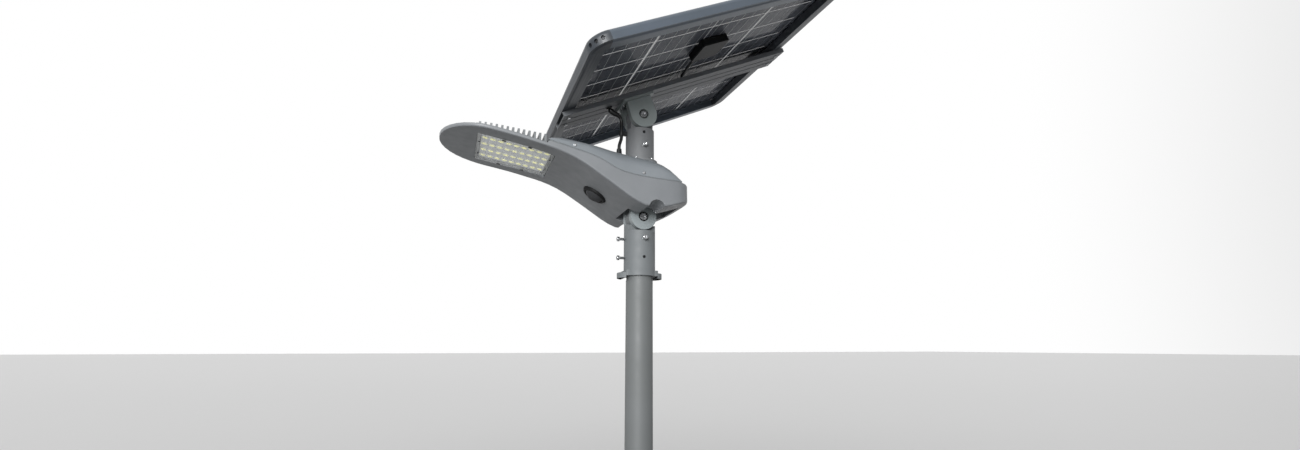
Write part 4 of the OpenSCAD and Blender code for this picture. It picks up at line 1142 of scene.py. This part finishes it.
@dataclass
class Studio:
    """Camera at the photograph's angle, pale floor, soft light."""

    camera_place: Triple = (-0.4397, -1.3914, 0.3167)
    camera_turn_deg: float = -18.6
    camera_pitch_deg: float = 11.9
    camera_clip: Span = (0.01, 200.0)
    lens_mm: float = 15.995
    sensor_mm: float = 36.0
    floor_half: float = 30.0
    floor_colour: str = "#bababa"
    floor_roughness: float = 0.3
    sky_colour: str = "#ffffff"
    sky_strength: float = 1.0
    # Side of the studio behind the camera's right shoulder, where the sky dims, and how it does
    dark_side: Triple = (0.8, -0.6, 0.0)
    dark_strength: float = 0.5
    dark_start: float = 0.25
    dark_full: float = 0.95
    # Square lamp behind the camera's left shoulder
    key_place: Triple = (-1.7, -3.2, 1.15)
    key_target: Triple = (-0.1, 0.0, 0.8)
    key_size: float = 1.6
    key_power: float = 30.0
    key_spread_deg: float = 70.0
    # Nodes without the key lamp's light, so that no image of it lies in the panel's glass
    key_skips: tuple[str, ...] = ("front_glass", "back_glass", "solar_cells")

    def camera(self) -> None:
        """Sets up the camera."""
        data = bpy.data.cameras.new("photo_camera")
        data.sensor_width = self.sensor_mm
        data.sensor_fit = "HORIZONTAL"
        data.lens = self.lens_mm
        data.clip_start, data.clip_end = self.camera_clip
        camera = add_object("photo_camera", data)
        camera.location = self.camera_place
        camera.rotation_euler = (math.radians(90 + self.camera_pitch_deg), 0,
                                 math.radians(self.camera_turn_deg))
        bpy.context.scene.camera = camera

    def light(self) -> None:
        """Adds the floor, the sky and the key lamp."""
        floor = self.floor()
        self.sky()
        self.key_lamp(floor)
        bpy.context.scene.view_settings.view_transform = "Standard"

    def floor(self) -> Object:
        """Adds the pale floor.

        Returns:
            The floor, which isn't part of the lamp.
        """
        bm = bmesh.new()
        bmesh.ops.create_grid(bm, x_segments=1, y_segments=1, size=self.floor_half)
        mesh = take_mesh("studio_floor", bm)
        finish = Finish("floor_satin_pale", self.floor_colour, self.floor_roughness)
        mesh.materials.append(finish.material())
        floor = add_object("studio_floor", mesh)
        return floor

    def sky(self) -> None:
        """Adds an even sky that dims towards the dark side."""
        world = bpy.data.worlds.new("studio_sky")
        world.use_nodes = True
        tree = world.node_tree
        tree.nodes.clear()
        ray = add_node(tree, "TexCoord").outputs["Generated"]
        side = add_node(tree, "VectorMath", {
            0: ray, 1: self.dark_side}, operation="DOT_PRODUCT").outputs["Value"]
        strength = add_node(tree, "MapRange", {
            "Value": side, "From Min": self.dark_start, "From Max": self.dark_full,
            "To Min": self.sky_strength, "To Max": self.dark_strength},
            interpolation_type="SMOOTHSTEP").outputs["Result"]
        sky = add_node(tree, "Background", {
            "Color": linear(self.sky_colour), "Strength": strength}).outputs["Background"]
        add_node(tree, "OutputWorld", {"Surface": sky})
        bpy.context.scene.world = world

    def key_lamp(self, floor: Object) -> None:
        """Adds a soft lamp that faces the head.

        Args:
            floor: The floor, where the lamp would leave a pool of light.
        """
        data = bpy.data.lights.new("key_lamp", "AREA")
        data.size = self.key_size
        data.energy = self.key_power
        data.spread = math.radians(self.key_spread_deg)
        lamp = add_object("key_lamp", data)
        place = Vector(self.key_place)
        lamp.matrix_world = aim(place, place - Vector(self.key_target))
        skipped = bpy.data.collections.new("not_lit_by_key")
        for part in (floor, *(frame["nodes"][node] for node in self.key_skips)):
            skipped.objects.link(part)
        for part in skipped.collection_objects:
            part.light_linking.link_state = "EXCLUDE"
        lamp.light_linking.receiver_collection = skipped


def paint_nodes() -> None:
    """Gives every node of the frame its finish."""
    for node, part in frame["nodes"].items():
        part.data.materials.clear()
        part.data.materials.append(NODE_FINISH.get(node, Palette.STEEL).material())


def main() -> None:
    """Builds the lamp's looks in order and reports each piece."""
    logging.basicConfig(level=logging.INFO, format="%(name)s %(message)s")
    studio = Studio()
    studio.camera()
    Cables().build()
    paint_nodes()
    for group in (PoleGroup(), HeadGroup(), LightEngine(), ColumnGroup(), PanelGroup()):
        group.build()
    studio.light()


if __name__ == "__main__":
    main()
